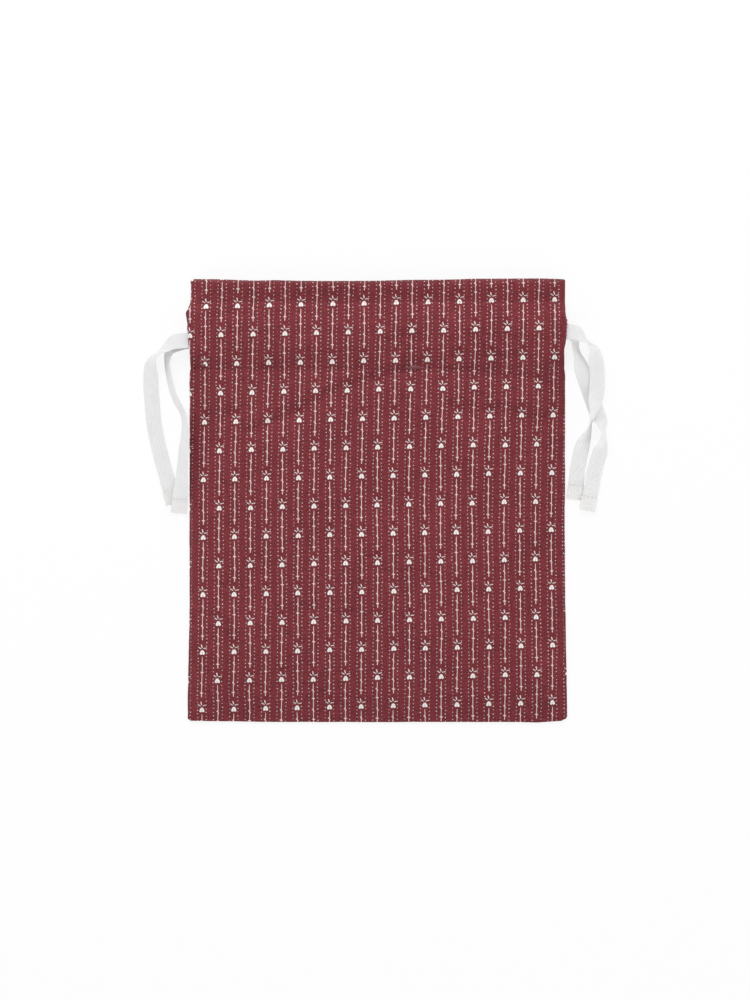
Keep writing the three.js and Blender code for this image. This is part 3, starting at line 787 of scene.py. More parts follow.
class Nodes:
    """Adds nodes to a tree and joins them up."""

    def __init__(self, tree):
        self.tree = tree

    def put(self, socket, value):
        if isinstance(value, bpy.types.NodeSocket):
            self.tree.links.new(value, socket)
        else:
            socket.default_value = value

    def add(self, kind, inputs=None, **settings):
        node = self.tree.nodes.new(kind)
        for key, value in settings.items():
            setattr(node, key, value)
        self.fill(node.inputs, inputs or {})
        return node

    def fill(self, sockets, values):
        for key, value in values.items():
            self.put(sockets[key], value)

    def math(self, operation, *values, clamp=False):
        node = self.add("ShaderNodeMath", operation=operation, use_clamp=clamp)
        for i, value in enumerate(values):
            self.put(node.inputs[i], value)
        return node.outputs[0]

    def vector(self, operation, *values):
        node = self.add("ShaderNodeVectorMath", operation=operation)
        names = {"SCALE": ["Vector", "Scale"]}.get(operation)
        for i, value in enumerate(values):
            self.put(node.inputs[names[i] if names else i], value)
        return node.outputs["Value" if operation in ("LENGTH", "DOT_PRODUCT", "DISTANCE") else "Vector"]

    def smooth(self, value, low, high):
        """0 at low, 1 at high and smooth between them."""
        node = self.add("ShaderNodeMapRange", {"Value": value, "From Min": low, "From Max": high})
        node.interpolation_type = "SMOOTHSTEP"
        return node.outputs["Result"]

    def mix(self, share, a, b, blend="MIX"):
        node = self.add("ShaderNodeMix", data_type="RGBA", blend_type=blend)
        self.put(node.inputs[0], share)
        self.put(node.inputs[6], a)
        self.put(node.inputs[7], b)
        return node.outputs[2]

    def noise(self, vector, scale, detail=2.0, roughness=0.5, output="Fac"):
        inputs = {"Vector": vector, "Scale": scale, "Detail": detail, "Roughness": roughness}
        return self.add("ShaderNodeTexNoise", inputs).outputs[output]

    def curve(self, value, points):
        """A drawn curve from 0 to 1 through points."""
        node = self.add("ShaderNodeFloatCurve", {"Value": value})
        line = node.mapping.curves[0]
        line.points[0].location, line.points[-1].location = points[0], points[-1]
        for x, y in points[1:-1]:
            line.points.new(x, y)
        for point in line.points:
            point.handle_type = "VECTOR"
        node.mapping.update()
        return node.outputs[0]


def group(name, inputs, outputs):
    """A new node group, and what its inputs give and its outputs take."""
    tree = bpy.data.node_groups.new(name, "ShaderNodeTree")
    for label, kind, value in inputs:
        socket = tree.interface.new_socket(name=label, in_out="INPUT", socket_type=f"NodeSocket{kind}")
        if value is not None:
            socket.default_value = value
    for label, kind in outputs:
        tree.interface.new_socket(name=label, in_out="OUTPUT", socket_type=f"NodeSocket{kind}")
    nodes = Nodes(tree)
    return tree, nodes, nodes.add("NodeGroupInput").outputs, nodes.add("NodeGroupOutput").inputs


def in_millimetres(nodes, vector):
    return nodes.vector("SCALE", vector, 1000.0)


COLUMN = 10.015  # between two columns of the print
REPEAT = 36.43  # the print's repeat down a column
RAY_SPACE = 5.43  # the rays above a bud take this much of the repeat
FIRST_COLUMN = 108.3  # a column runs this far to the left of the bag's middle
TOP_BUD = 122.15  # how far above the middle the first bud of that column lies
ROW_SLOPE = 0.0211  # the rows of buds climb to the right by this much
DOT_LINE = 2.7  # each dotted line's distance from its column
DOT_PITCH = 2.35
LEAF_WAIST = 0.22  # width of a stem beside a leaf
INK_EDGE = 0.10  # half of the width over which the ink fades


def half_width_curve(leaves):
    """Half width of a column's figures down one repeat, as shares of the repeat and of 2 mm."""
    bud = [(-1.54, 0), (-1.48, 0.38), (-1.3, 0.66), (-0.9, 1.00), (-0.3, 1.32), (0.3, 1.54)]
    bud += [(0.8, 1.64), (1.15, 1.52), (1.38, 1.22), (1.52, 0.9), (1.56, 0)]
    points = [(-RAY_SPACE, 0), *bud, (2.7, 0), (2.8, 0.14), (3.9, 0.21)]
    for place, size, reach in leaves:
        points += [(place - reach, LEAF_WAIST), (place - 0.22, size)]
        points += [(place + 0.22, size), (place + reach, LEAF_WAIST)]
    points += [(28.0, 0.30), (28.4, 0.25), (28.55, 0), (31.0, 0)]
    return [((q + RAY_SPACE) / REPEAT, w / 2) for q, w in points]


LEFT_LEAVES = [(7.0, 0.92, 0.60), (12.6, 0.98, 0.45), (19.5, 0.92, 0.60), (25.8, 1.02, 0.45)]
RIGHT_LEAVES = [(8.1, 0.66, 0.50), (12.7, 0.92, 0.45), (20.6, 0.66, 0.50), (25.9, 0.98, 0.45)]

# The three rays above a bud: (start, end, half thickness, strength), across and down from the bud's middle
RAYS = [
    ((-0.12, -3.35), (-0.52, -4.90), 0.30, 0.92),
    ((-0.90, -2.55), (-2.30, -3.40), 0.26, 0.78),
    ((0.78, -2.62), (2.60, -2.98), 0.26, 0.78),
]


def stroke(nodes, spot, start, end, thickness, ragged):
    """A short pen stroke from start to end."""
    way = Vector((end[0] - start[0], end[1] - start[1], 0))
    beyond = nodes.vector("SUBTRACT", spot, (*start, 0))
    share = nodes.math("DIVIDE", nodes.vector("DOT_PRODUCT", beyond, way), way.length_squared, clamp=True)
    away = nodes.vector("LENGTH", nodes.vector("SUBTRACT", beyond, nodes.vector("SCALE", way, share)))
    away = nodes.math("MULTIPLY_ADD", ragged, 0.22, away)
    return nodes.smooth(away, thickness + INK_EDGE, thickness - INK_EDGE)


def stripe_print():
    """Columns of thin stems with small leaves, each topped by a bud and three rays, between dotted lines."""
    outputs = [("Figures", "Float"), ("Stems", "Float"), ("Dots", "Float")]
    tree, n, given, taken = group("stripe_print", [("Vector", "Vector", None)], outputs)
    at = in_millimetres(n, given["Vector"])
    drift = n.vector("SUBTRACT", n.noise(at, 0.055, 1.0, output="Color"), (0.5, 0.5, 0.5))
    at = n.vector("ADD", at, n.vector("SCALE", drift, 1.1))
    ragged = n.math("SUBTRACT", n.noise(at, 1.9, 2.0), 0.5)
    split = n.add("ShaderNodeSeparateXYZ", {"Vector": at}).outputs
    x, y = split["X"], split["Y"]
    slant = n.math("SUBTRACT", 0.0082, n.math("MULTIPLY", x, 0.0037 / 110))
    shift = n.math("MULTIPLY", slant, n.math("SUBTRACT", y, 122.4))
    column = n.math("DIVIDE", n.math("ADD", n.math("SUBTRACT", x, shift), FIRST_COLUMN), COLUMN)
    number = n.math("ROUND", column)
    across = n.math("MULTIPLY", n.math("SUBTRACT", column, number), COLUMN)
    away = n.math("ABSOLUTE", across)
    on_right = n.math("GREATER_THAN", across, 0.0)
    odd = n.math("FLOORED_MODULO", number, 2.0)
    bud = n.math("MULTIPLY_ADD", n.math("ADD", x, 108.46), ROW_SLOPE, TOP_BUD)
    down = n.math("SUBTRACT", bud, y)
    down = n.math("SUBTRACT", down, n.math("MULTIPLY", odd, REPEAT / 2))
    place = n.math("FLOORED_MODULO", n.math("ADD", down, RAY_SPACE), REPEAT)
    share, below = n.math("DIVIDE", place, REPEAT), n.math("SUBTRACT", place, RAY_SPACE)

    left = n.curve(share, half_width_curve(LEFT_LEAVES))
    right = n.curve(share, half_width_curve(RIGHT_LEAVES))
    left = n.math("MULTIPLY", left, n.math("SUBTRACT", 1.0, on_right))
    width = n.math("MULTIPLY", n.math("MULTIPLY_ADD", right, on_right, left), 2.0)
    room = n.math("MULTIPLY_ADD", ragged, 0.22, n.math("SUBTRACT", width, away))
    inside = n.math("MULTIPLY", n.smooth(room, -INK_EDGE, INK_EDGE), n.math("GREATER_THAN", width, 0.06))
    # The bud's foot is notched, and its stem starts below it
    notch = n.math("MULTIPLY", n.smooth(below, 0.95, 1.5), 0.46)
    notch = n.smooth(n.math("SUBTRACT", away, notch), -INK_EDGE, INK_EDGE)
    inside = n.math("MULTIPLY", inside, n.math("MAXIMUM", notch, n.math("GREATER_THAN", below, 1.9)))
    upper = n.math("LESS_THAN", below, 2.2)

    spot = n.add("ShaderNodeCombineXYZ", {"X": across, "Y": below, "Z": 0.0}).outputs[0]
    speck = n.smooth(n.vector("LENGTH", n.vector("SUBTRACT", spot, (0.05, 0.45, 0))), 0.62, 0.15)
    figures = n.math("MULTIPLY", inside, upper)
    figures = n.math("MULTIPLY", figures, n.math("SUBTRACT", 1.0, n.math("MULTIPLY", speck, 0.22)))
    for start, end, thickness, strength in RAYS:
        ray = n.math("MULTIPLY", stroke(n, spot, start, end, thickness, ragged), strength)
        figures = n.math("MAXIMUM", figures, ray)
    n.put(taken["Figures"], figures)
    n.put(taken["Stems"], n.math("MULTIPLY", inside, n.math("SUBTRACT", 1.0, upper)))

    # Dotted lines on both sides of a column
    line = n.math("MULTIPLY_ADD", number, 2.0, on_right)
    tall = n.math("DIVIDE", n.math("MULTIPLY_ADD", on_right, 0.6, down), DOT_PITCH)
    row = n.math("FLOOR", tall)
    seed = n.add("ShaderNodeCombineXYZ", {"X": row, "Y": line, "Z": 0.0}).outputs[0]
    chance = n.add("ShaderNodeTexWhiteNoise", {"Vector": seed}, noise_dimensions="2D")
    spread = n.add("ShaderNodeSeparateColor", {"Color": chance.outputs["Color"]}).outputs
    offset = n.math("SUBTRACT", spread[0], 0.5)
    sideways = n.math("MULTIPLY_ADD", offset, 0.36, n.math("SUBTRACT", away, DOT_LINE))
    upright = n.math("MULTIPLY", n.math("SUBTRACT", n.math("SUBTRACT", tall, row), 0.5), DOT_PITCH)
    upright = n.math("MULTIPLY_ADD", n.math("SUBTRACT", spread[1], 0.5), 0.40, upright)
    from_dot = n.add("ShaderNodeCombineXYZ", {"X": sideways, "Y": upright, "Z": 0.0}).outputs[0]
    size = n.math("MULTIPLY_ADD", spread[2], 0.09, 0.27)
    beyond = n.math("SUBTRACT", n.math("MULTIPLY_ADD", ragged, 0.35, n.vector("LENGTH", from_dot)), size)
    dot = n.math("MULTIPLY", n.smooth(beyond, 0.11, -0.11), n.math("MULTIPLY_ADD", spread[2], 0.45, 0.55))
    beside_rays = n.math("MULTIPLY", n.smooth(below, -4.0, -3.7), n.smooth(below, -2.1, -2.5))
    n.put(taken["Dots"], n.math("MULTIPLY", dot, n.math("SUBTRACT", 1.0, beside_rays)))
    return tree


YARN = 0.42  # between two yarns of the cloth


def plain_weave():
    """Over-and-under weave of fine yarns, with slubs: a height and a shade."""
    inputs = [("Vector", "Vector", None), ("Pitch", "Float", YARN)]
    tree, n, given, taken = group("plain_weave", inputs, [("Height", "Float"), ("Shade", "Float")])
    at = in_millimetres(n, given["Vector"])
    drift = n.vector("SUBTRACT", n.noise(at, 0.25, 2.0, output="Color"), (0.5, 0.5, 0.5))
    at = n.vector("ADD", at, n.vector("SCALE", drift, 0.5))
    split = n.add("ShaderNodeSeparateXYZ", {"Vector": at}).outputs
    waves = []
    for axis in ("X", "Y"):
        turn = n.math("MULTIPLY", n.math("DIVIDE", split[axis], given["Pitch"]), math.pi)
        waves.append(n.math("SINE", turn))
    cross = n.math("MULTIPLY", waves[0], waves[1])
    slubs = []
    for stretch in ((0.10, 2.2, 1.0), (2.2, 0.10, 1.0)):
        slubs.append(n.noise(n.vector("MULTIPLY", at, stretch), 1.0, 2.0))
    slub = n.math("ADD", slubs[0], slubs[1])
    height = n.math("MULTIPLY_ADD", cross, 0.5, n.math("MULTIPLY", slub, 0.6))
    n.put(taken["Height"], height)
    shade = n.math("MULTIPLY_ADD", cross, 0.22, n.math("MULTIPLY", n.math("SUBTRACT", slub, 1.0), 1.4))
    n.put(taken["Shade"], n.math("ADD", shade, 0.5, clamp=True))
    return tree


# Blotches of the cloth, from broad to fine: (scale, detail, roughness, amount)
BLOTCHES = [(0.035, 2.0, 0.5, 0.8), (0.22, 2.0, 0.6, 1.2), (0.70, 1.0, 0.5, 1.2), (1.5, 1.0, 0.6, 5.5)]


def cloth_mottle():
    """Uneven dye and handling marks: broad blotches and fine grain around one half."""
    tree, n, given, taken = group("cloth_mottle", [("Vector", "Vector", None)], [("Value", "Float")])
    at = in_millimetres(n, given["Vector"])
    total = 0.5
    for scale, detail, coarse, amount in BLOTCHES:
        spots = n.math("SUBTRACT", n.noise(at, scale, detail, coarse), 0.5)
        total = n.math("MULTIPLY_ADD", spots, amount, total)
    n.put(taken["Value"], n.math("ADD", total, 0.0, clamp=True))
    return tree


RIB_PITCH = 2.4  # of the tape's slanting ribs
YARN_PITCH = 0.5
WARP_PITCH = 0.55
RIB_SLANT = -1.4


def tape_weave():
    """Twill weave of a narrow tape, by its width and length: a height and a shade."""
    outputs = [("Height", "Float"), ("Shade", "Float")]
    tree, n, given, taken = group("tape_weave", [("Vector", "Vector", None)], outputs)
    at = in_millimetres(n, given["Vector"])
    split = n.add("ShaderNodeSeparateXYZ", {"Vector": at}).outputs
    slant = n.math("MULTIPLY_ADD", split["X"], RIB_SLANT, split["Y"])
    rib = n.math("SINE", n.math("MULTIPLY", slant, 2 * math.pi / RIB_PITCH))
    yarn = n.math("SINE", n.math("MULTIPLY", split["Y"], 2 * math.pi / YARN_PITCH))
    warp = n.math("SINE", n.math("MULTIPLY", split["X"], 2 * math.pi / WARP_PITCH))
    fine = n.math("MULTIPLY", yarn, warp)
    fibre = n.math("SUBTRACT", n.noise(at, 2.4, 2.0, 0.6), 0.5)
    height = n.math("ADD", n.math("MULTIPLY", rib, 0.45), n.math("MULTIPLY", fine, 0.15))
    n.put(taken["Height"], n.math("MULTIPLY_ADD", fibre, 0.5, height))
    soil = n.math("SUBTRACT", n.noise(at, 0.16, 2.0), 0.5)
    shade = n.math("MULTIPLY_ADD", rib, 0.16, n.math("MULTIPLY", fine, 0.08))
    shade = n.math("ADD", shade, n.math("MULTIPLY_ADD", fibre, 0.5, n.math("MULTIPLY", soil, 0.7)))
    lint = n.add("ShaderNodeTexVoronoi", {"Vector": at, "Scale": 0.20}).outputs
    chance = n.add("ShaderNodeSeparateColor", {"Color": lint["Color"]}).outputs[0]
    chosen = n.math("GREATER_THAN", chance, 0.55)
    shade = n.math("ADD", shade, n.math("MULTIPLY", n.smooth(lint["Distance"], 0.09, 0.05), chosen))
    n.put(taken["Shade"], n.math("ADD", shade, 0.5, clamp=True))
    return tree


def use_group(nodes, build, inputs):
    """The outputs of a node group, which is built at its first use."""
    tree = bpy.data.node_groups.get(build.__name__) or build()
    return nodes.add("ShaderNodeGroup", inputs, node_tree=tree).outputs


def material(name):
    """An empty material with a plain shader, and its nodes."""
    made = bpy.data.materials.new(name)
    made.use_nodes = True
    nodes = Nodes(made.node_tree)
    return made, nodes, made.node_tree.nodes["Principled BSDF"].inputs


def pattern_place(nodes):
    return nodes.add("ShaderNodeUVMap", uv_map="pattern").outputs["UV"]


def colour(value):
    return (*value, 1.0)


def bumped(nodes, height, distance, strength):
    inputs = {"Height": height, "Distance": distance * MM, "Strength": strength}
    return nodes.add("ShaderNodeBump", inputs).outputs["Normal"]


def shaded(nodes, base, shade, depth):
    """A colour made lighter and darker by a shade around one half."""
    low = tuple(c * (1 - depth) for c in base)
    high = tuple(min(1.0, c * (1 + depth)) for c in base)
    return nodes.mix(shade, colour(low), colour(high))


def printed_cloth(colours):
    """Burgundy cotton with its off-white print, woven grain, uneven dye and slightly worn folds."""
    if bpy.data.materials.get("printed_cotton"):
        return bpy.data.materials["printed_cotton"]
    made, n, shader = material("printed_cotton")
    at = pattern_place(n)
    mottle = use_group(n, cloth_mottle, {"Vector": at})["Value"]
    weave = use_group(n, plain_weave, {"Vector": at, "Pitch": YARN})
    figures = use_group(n, stripe_print, {"Vector": at})
    ground = shaded(n, colours.ground, mottle, 0.62)
    darker = colour(c * 0.55 for c in colours.ground)
    brighter = colour(min(1, c * 1.5) for c in colours.ground)
    ground = n.mix(n.math("MULTIPLY", weave["Shade"], 0.30), ground, darker)
    ground = n.mix(0.5, ground, n.mix(weave["Shade"], ground, brighter))
    worn = n.add("ShaderNodeAttribute", attribute_name="fold_edge").outputs["Fac"]
    paler = colour(0.75 * c + 0.16 for c in colours.ground)
    ground = n.mix(n.math("MULTIPLY", worn, n.math("MULTIPLY", mottle, 0.45)), ground, paler)
    cover = n.math("SUBTRACT", 1.0, n.math("MULTIPLY", weave["Shade"], 0.06))
    tone = n.mix(n.math("MULTIPLY", figures["Dots"], cover), ground, colour(colours.line_ink))
    tone = n.mix(n.math("MULTIPLY", figures["Stems"], cover), tone, colour(colours.line_ink))
    tone = n.mix(n.math("MULTIPLY", figures["Figures"], cover), tone, colour(colours.ink))
    n.fill(shader, {
        "Base Color": tone,
        "Roughness": n.math("MULTIPLY_ADD", weave["Shade"], 0.10, 0.84),
        "Sheen Weight": 0.04,
        "Sheen Roughness": 0.6,
        "Specular IOR Level": 0.15,
        "Normal": bumped(n, weave["Height"], 0.06, 0.8),
    })
    return made


def cloth_reverse(colours):
    """The unprinted back of the cotton, paler, where the print only shows through faintly."""
    if bpy.data.materials.get("cotton_reverse"):
        return bpy.data.materials["cotton_reverse"]
    made, n, shader = material("cotton_reverse")
    at = pattern_place(n)
    mottle = use_group(n, cloth_mottle, {"Vector": at})["Value"]
    weave = use_group(n, plain_weave, {"Vector": at, "Pitch": YARN})
    figures = use_group(n, stripe_print, {"Vector": at})
    ground = shaded(n, colours.reverse, mottle, 0.30)
    darker = colour(c * 0.6 for c in colours.reverse)
    ground = n.mix(n.math("MULTIPLY", weave["Shade"], 0.45), ground, darker)
    ghost = n.math("MAXIMUM", figures["Figures"], n.math("MULTIPLY", figures["Stems"], 0.7))
    ghost_colour = colour(0.7 * c + 0.16 for c in colours.reverse)
    n.fill(shader, {
        "Base Color": n.mix(n.math("MULTIPLY", ghost, 0.35), ground, ghost_colour),
        "Roughness": n.math("MULTIPLY_ADD", weave["Shade"], 0.08, 0.88),
        "Sheen Weight": 0.10,
        "Specular IOR Level": 0.2,
        "Normal": bumped(n, weave["Height"], 0.07, 0.9),
    })
    return made


def cotton_tape(colours):
    """The tape's two sides: natural white cotton twill, and its back in a warmer colour, painted a little
    brighter to make up for the weaker light on the folded ends.
    """
    return [woven_side("tape_face", colours.tape), woven_side("tape_back", colours.tape_back)]


def woven_side(name, base):
    """One side of the tape: twill with a soft sheen."""
    if bpy.data.materials.get(name):
        return bpy.data.materials[name]
    made, n, shader = material(name)
    weave = use_group(n, tape_weave, {"Vector": pattern_place(n)})
    n.fill(shader, {
        "Base Color": shaded(n, base, weave["Shade"], 0.06),
        "Roughness": n.math("MULTIPLY_ADD", weave["Shade"], -0.06, 0.92),
        "Sheen Weight": 0.35,
        "Sheen Roughness": 0.6,
        "Specular IOR Level": 0.15,
        "Subsurface Weight": 0.4,
        "Subsurface Radius": (1, 1, 1),
        "Subsurface Scale": 0.4 * MM,
        "Normal": bumped(n, weave["Height"], 0.08, 0.8),
    })
    return made


def sewing_thread(name, base):
    """Twisted spun thread."""
    if bpy.data.materials.get(name):
        return bpy.data.materials[name]
    made, n, shader = material(name)
    at = n.add("ShaderNodeTexCoord").outputs["Object"]
    grain = n.noise(in_millimetres(n, at), 3.0, 2.0)
    ply = n.add("ShaderNodeTexWave", {"Vector": in_millimetres(n, at), "Scale": 1.3, "Distortion": 1.5},
                wave_type="BANDS", bands_direction="DIAGONAL").outputs["Fac"]
    shade = n.math("MULTIPLY_ADD", ply, 0.5, n.math("MULTIPLY", grain, 0.5))
    n.fill(shader, {
        "Base Color": shaded(n, base, shade, 0.28),
        "Roughness": n.math("MULTIPLY_ADD", grain, 0.2, 0.6),
        "Sheen Weight": 0.15,
        "Normal": bumped(n, ply, 0.04, 0.7),
    })
    return made


# Operators


CAMERA_PLACE = (-0.0016, 0, 1.7627)  # metres, straight above the bag
CAMERA_LENS = 100
SENSOR_WIDTH = 36
FLOOR_SIZE = 8  # metres
FLOOR_DROP = 0.2  # the floor lies this far below the bag
FLOOR_GLOW = 1.03  # the camera sees the floor by this glow for the most part, so that it stays nearly white
FLOOR_GLOW_SHARE = 0.85
ROOM_LIGHT = 1.08  # the room's light level with the table. It fades by the square of the height.

# Lamps: (name, place in metres, size, power, what it does to the tapes). The white tapes get less of the
# low window light than the cloth does, and light from overhead and from the low front instead.
LAMPS = [
    ("window_light", (-0.42, 1.36, 1.05), 1.2, 16, "EXCLUDE"),
    ("window_light_on_tapes", (-0.42, 1.36, 1.05), 1.2, 6, "INCLUDE"),
    ("overhead_light_on_tapes", (0, 0, 1.9), 1.2, 5.5, "INCLUDE"),
    ("low_light_on_tapes", (0.8, -1.2, 0.8), 1.2, 3.4, "INCLUDE"),
    ("soft_fill", (1.0, -0.9, 1.2), 1.4, 2, None),
]


def share_light(tapes):
    """Keeps a lamp to the tapes, or to everything but them, as LAMPS says."""
    for name, _, _, _, state in LAMPS:
        if state:
            reach = bpy.data.collections.new(f"{name}_reach")
            for piece in tapes:
                reach.objects.link(piece)
            bpy.data.objects[name].light_linking.receiver_collection = reach
            for entry in reach.collection_objects:
                entry.light_linking.link_state = state


def seen_directly(nodes):
    """1 for what the camera sees, also by way of a shine or through glass, and 0 for the light itself."""
    path = nodes.add("ShaderNodeLightPath").outputs
    through = nodes.math("MAXIMUM", path["Is Glossy Ray"], path["Is Transmission Ray"])
    return nodes.math("MAXIMUM", path["Is Camera Ray"], through)


def pale_room():
    """A world that looks white, and gives most of its light from the sides so that folds show."""
    world = bpy.data.worlds.new("pale_room")
    world.use_nodes = True
    n = Nodes(world.node_tree)
    for node in list(world.node_tree.nodes):
        world.node_tree.nodes.remove(node)
    seen = seen_directly(n)
    around = n.add("ShaderNodeTexCoord").outputs["Generated"]
    height = n.add("ShaderNodeSeparateXYZ", {"Vector": around}).outputs["Z"]
    tent = n.math("MULTIPLY_ADD", n.math("MULTIPLY", height, height), -1.0, ROOM_LIGHT)
    strength = n.math("MAXIMUM", seen, n.math("MULTIPLY", tent, n.math("SUBTRACT", 1.0, seen)))
    shine = n.add("ShaderNodeBackground", {"Color": (1, 1, 1, 1), "Strength": strength}).outputs[0]
    n.add("ShaderNodeOutputWorld", {"Surface": shine})
    return world


def white_table():
    """A matt floor that takes the bag's shadow and looks nearly white."""
    made, n, shader = material("white_table")
    grain = n.noise(n.add("ShaderNodeTexCoord").outputs["Object"], 60.0, 2.0)
    tone = n.mix(grain, (0.90, 0.90, 0.90, 1), (0.93, 0.93, 0.93, 1))
    n.fill(shader, {"Base Color": tone, "Roughness": 0.95, "Specular IOR Level": 0.1})
    share = n.math("MULTIPLY", seen_directly(n), FLOOR_GLOW_SHARE)
    glow = n.add("ShaderNodeEmission", {"Color": (1, 1, 1, 1), "Strength": FLOOR_GLOW}).outputs[0]
    plain = made.node_tree.nodes["Principled BSDF"].outputs[0]
    both = n.add("ShaderNodeMixShader", {0: share, 1: plain, 2: glow}).outputs[0]
    n.put(made.node_tree.nodes["Material Output"].inputs["Surface"], both)
    return made


class GIFTBAG_OT_stage(bpy.types.Operator):
    """Adds the pale floor, the soft lamps, the sky and the camera above the bag"""

    bl_idname = "giftbag.stage"
    bl_label = "Stage and camera"
    bl_options = {"REGISTER", "UNDO"}

    def execute(self, context):
        bpy.ops.object.select_all(action="DESELECT")
        bpy.ops.object.camera_add(location=CAMERA_PLACE, rotation=(0, 0, 0))
        camera = context.active_object
        camera.name = "camera"
        camera.data.lens = CAMERA_LENS
        camera.data.sensor_width = SENSOR_WIDTH
        camera.data.clip_start = 0.01
        context.scene.camera = camera

        for name, place, size, power, _ in LAMPS:
            bpy.ops.object.light_add(type="AREA", location=place)
            lamp = context.active_object
            lamp.name = name
            lamp.rotation_euler = (-lamp.location).to_track_quat("-Z", "Y").to_euler()
            lamp.data.size = size
            lamp.data.energy = power

        context.scene.world = pale_room()
        context.scene.view_settings.view_transform = "Standard"

        bpy.ops.object.select_all(action="DESELECT")
        bpy.ops.mesh.primitive_plane_add(size=FLOOR_SIZE, location=(0, 0, -FLOOR_DROP * MM))
        floor = context.active_object
        floor.name = "floor"
        bpy.ops.object.transform_apply(location=True, rotation=True, scale=True)
        floor.data.materials.append(white_table())
        return {"FINISHED"}


class GIFTBAG_OT_drawstrings(bpy.types.Operator):
    """Adds both drawstrings: the tape held in the channel, the free tails and their folded, stitched ends"""

    bl_idname = "giftbag.drawstrings"
    bl_label = "Drawstrings"
    bl_options = {"REGISTER", "UNDO"}

    def held(self, shape, name, tape):
        """One length of tape: in along the front, round behind the far slit and out along the back."""
        side = SIDES[name]
        inward = np.array([-side * math.cos(shape.tilt), -side * math.sin(shape.tilt), 0.0])
        across = crosswise(-inward, 0, side)[0]
        origin = np.array([side * shape.top_half, shape.exit[name], 0.0])
        reach = (shape.top_half + shape.turn_centre) / math.cos(shape.tilt)
        top, low = shape.front_tape + shape.tape / 2, shape.back_tape + shape.tape / 2
        route = [(d, top, inward) for d in np.linspace(0.02, reach, 60)]
        radius, middle = (top - low) / 2, (top + low) / 2
        for angle in np.linspace(0, math.pi, 13)[1:]:
            way = inward * math.cos(angle) + np.array([0, 0, -math.sin(angle)])
            route.append((reach + radius * math.sin(angle), middle + radius * math.cos(angle), way))
        route += [(d, low, -inward) for d in np.linspace(reach, 0.02, 60)[1:]]
        frames = []
        for distance, height, way in route:
            place = origin + inward * distance + np.array([0, 0, height])
            up = -side * np.cross(across, way)
            frames.append((place, way, across, up / np.linalg.norm(up)))
        mesh = tape_mesh(f"{name}_drawstring_held_tape", frames, shape.tape_width, shape.tape, seed=side)
        piece = new_piece(f"{name}_drawstring_held_tape", mesh, tape)
        crisp(piece)
        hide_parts(*(f"{name}_drawstring_{part}" for part in ("front_run", "back_run", "turn")))
        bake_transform(piece)
        return piece

    def folded_end(self, shape, name, face, frame, length, tape, thread, fray_highlight):
        """The tail's last stretch, folded over at its tip and sewn down, with its raw edge and stitches."""
        place, way, across, up = frame
        thick, fold = shape.tape, END_LENGTH - shape.tape
        radius = thick / 2 * TURN_LIFT
        route = [(d, 0.0, way) for d in np.linspace(0.03, fold, 9)]
        for angle in np.linspace(0, math.pi, 9)[1:]:
            lift = radius * (1 - math.cos(angle))
            turned = way * math.cos(angle) + up * math.sin(angle)
            route.append((fold + radius * math.sin(angle), lift, turned))
        route += [(d, 2 * radius, -way) for d in np.linspace(fold, GAP, 9)[1:]]
        frames = []
        for distance, height, turned in route:
            side_up = SIDES[name] * np.cross(across, turned)
            side_up /= np.linalg.norm(side_up)
            frames.append((place + way * distance + up * height, turned, across, side_up))
        title = f"{name}_drawstring_{face}_folded_end"
        mesh = tape_mesh(title, frames, END_WIDTH, thick * 0.98, start=length, seed=len(title), wave=0.6)
        end = new_piece(title, mesh, tape)
        crisp(end)
        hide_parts(f"{name}_drawstring_{face}_end")
        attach(end, f"{name}_drawstring")
        trims = [end]
        # The raw edge's row takes a colour painted a little brighter than the tape: a painted highlight along
        # the raised raw edge
        # Each row: how far along, the length of a stitch, its height in thicknesses, its name and thread
        for distance, length, lift, title, cotton in (
            (1.5, 1.7, 1.56, f"{title}_stitches", thread), (GAP, 1.2, 1.50, f"{title}_raw_edge", fray_highlight),
        ):
            start = place + way * distance + up * thick * lift - across * END_WIDTH * 0.48
            line = [(start + across * END_WIDTH * 0.96 * t, up) for t in np.linspace(0, 1, 9)]
            trim = row_of_stitches(title, [line], length, cotton, gap=0.35 if cotton is thread else -0.2)
            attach(trim, f"{name}_drawstring")
            trims.append(trim)
        return trims

    def execute(self, context):
        shape = BagShape(context.scene.gift_bag_sizes)
        colours = context.scene.gift_bag_colours
        tape = cotton_tape(colours)
        thread = sewing_thread("cream_thread", tuple(c * 0.93 for c in colours.tape_back))
        # Raw edge fuzz, painted a little brighter than the tape as a painted highlight along the raised edge
        fray_highlight = sewing_thread("cotton_fray", tuple(min(1.0, c * 1.08) for c in colours.tape))
        tapes = []
        for name, side in SIDES.items():
            for face in ("front", "back"):
                frames = tail_frames(shape, name, face)
                title = f"{name}_drawstring_{face}_free_tail"
                mesh = tape_mesh(title, frames, shape.tape_width, shape.tape, seed=len(title) + side)
                tail = new_piece(title, mesh, tape)
                crisp(tail)
                places = np.array([f[0] for f in frames])
                length = np.linalg.norm(np.diff(places, axis=0), axis=1).sum()
                end = self.folded_end(shape, name, face, frames[-1], length, tape, thread, fray_highlight)
                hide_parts(f"{name}_drawstring_{face}_tail")
                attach(tail, f"{name}_drawstring")
                tapes += [tail, *end]
            tapes.append(self.held(shape, name, tape))
        share_light(tapes)
        return {"FINISHED"}


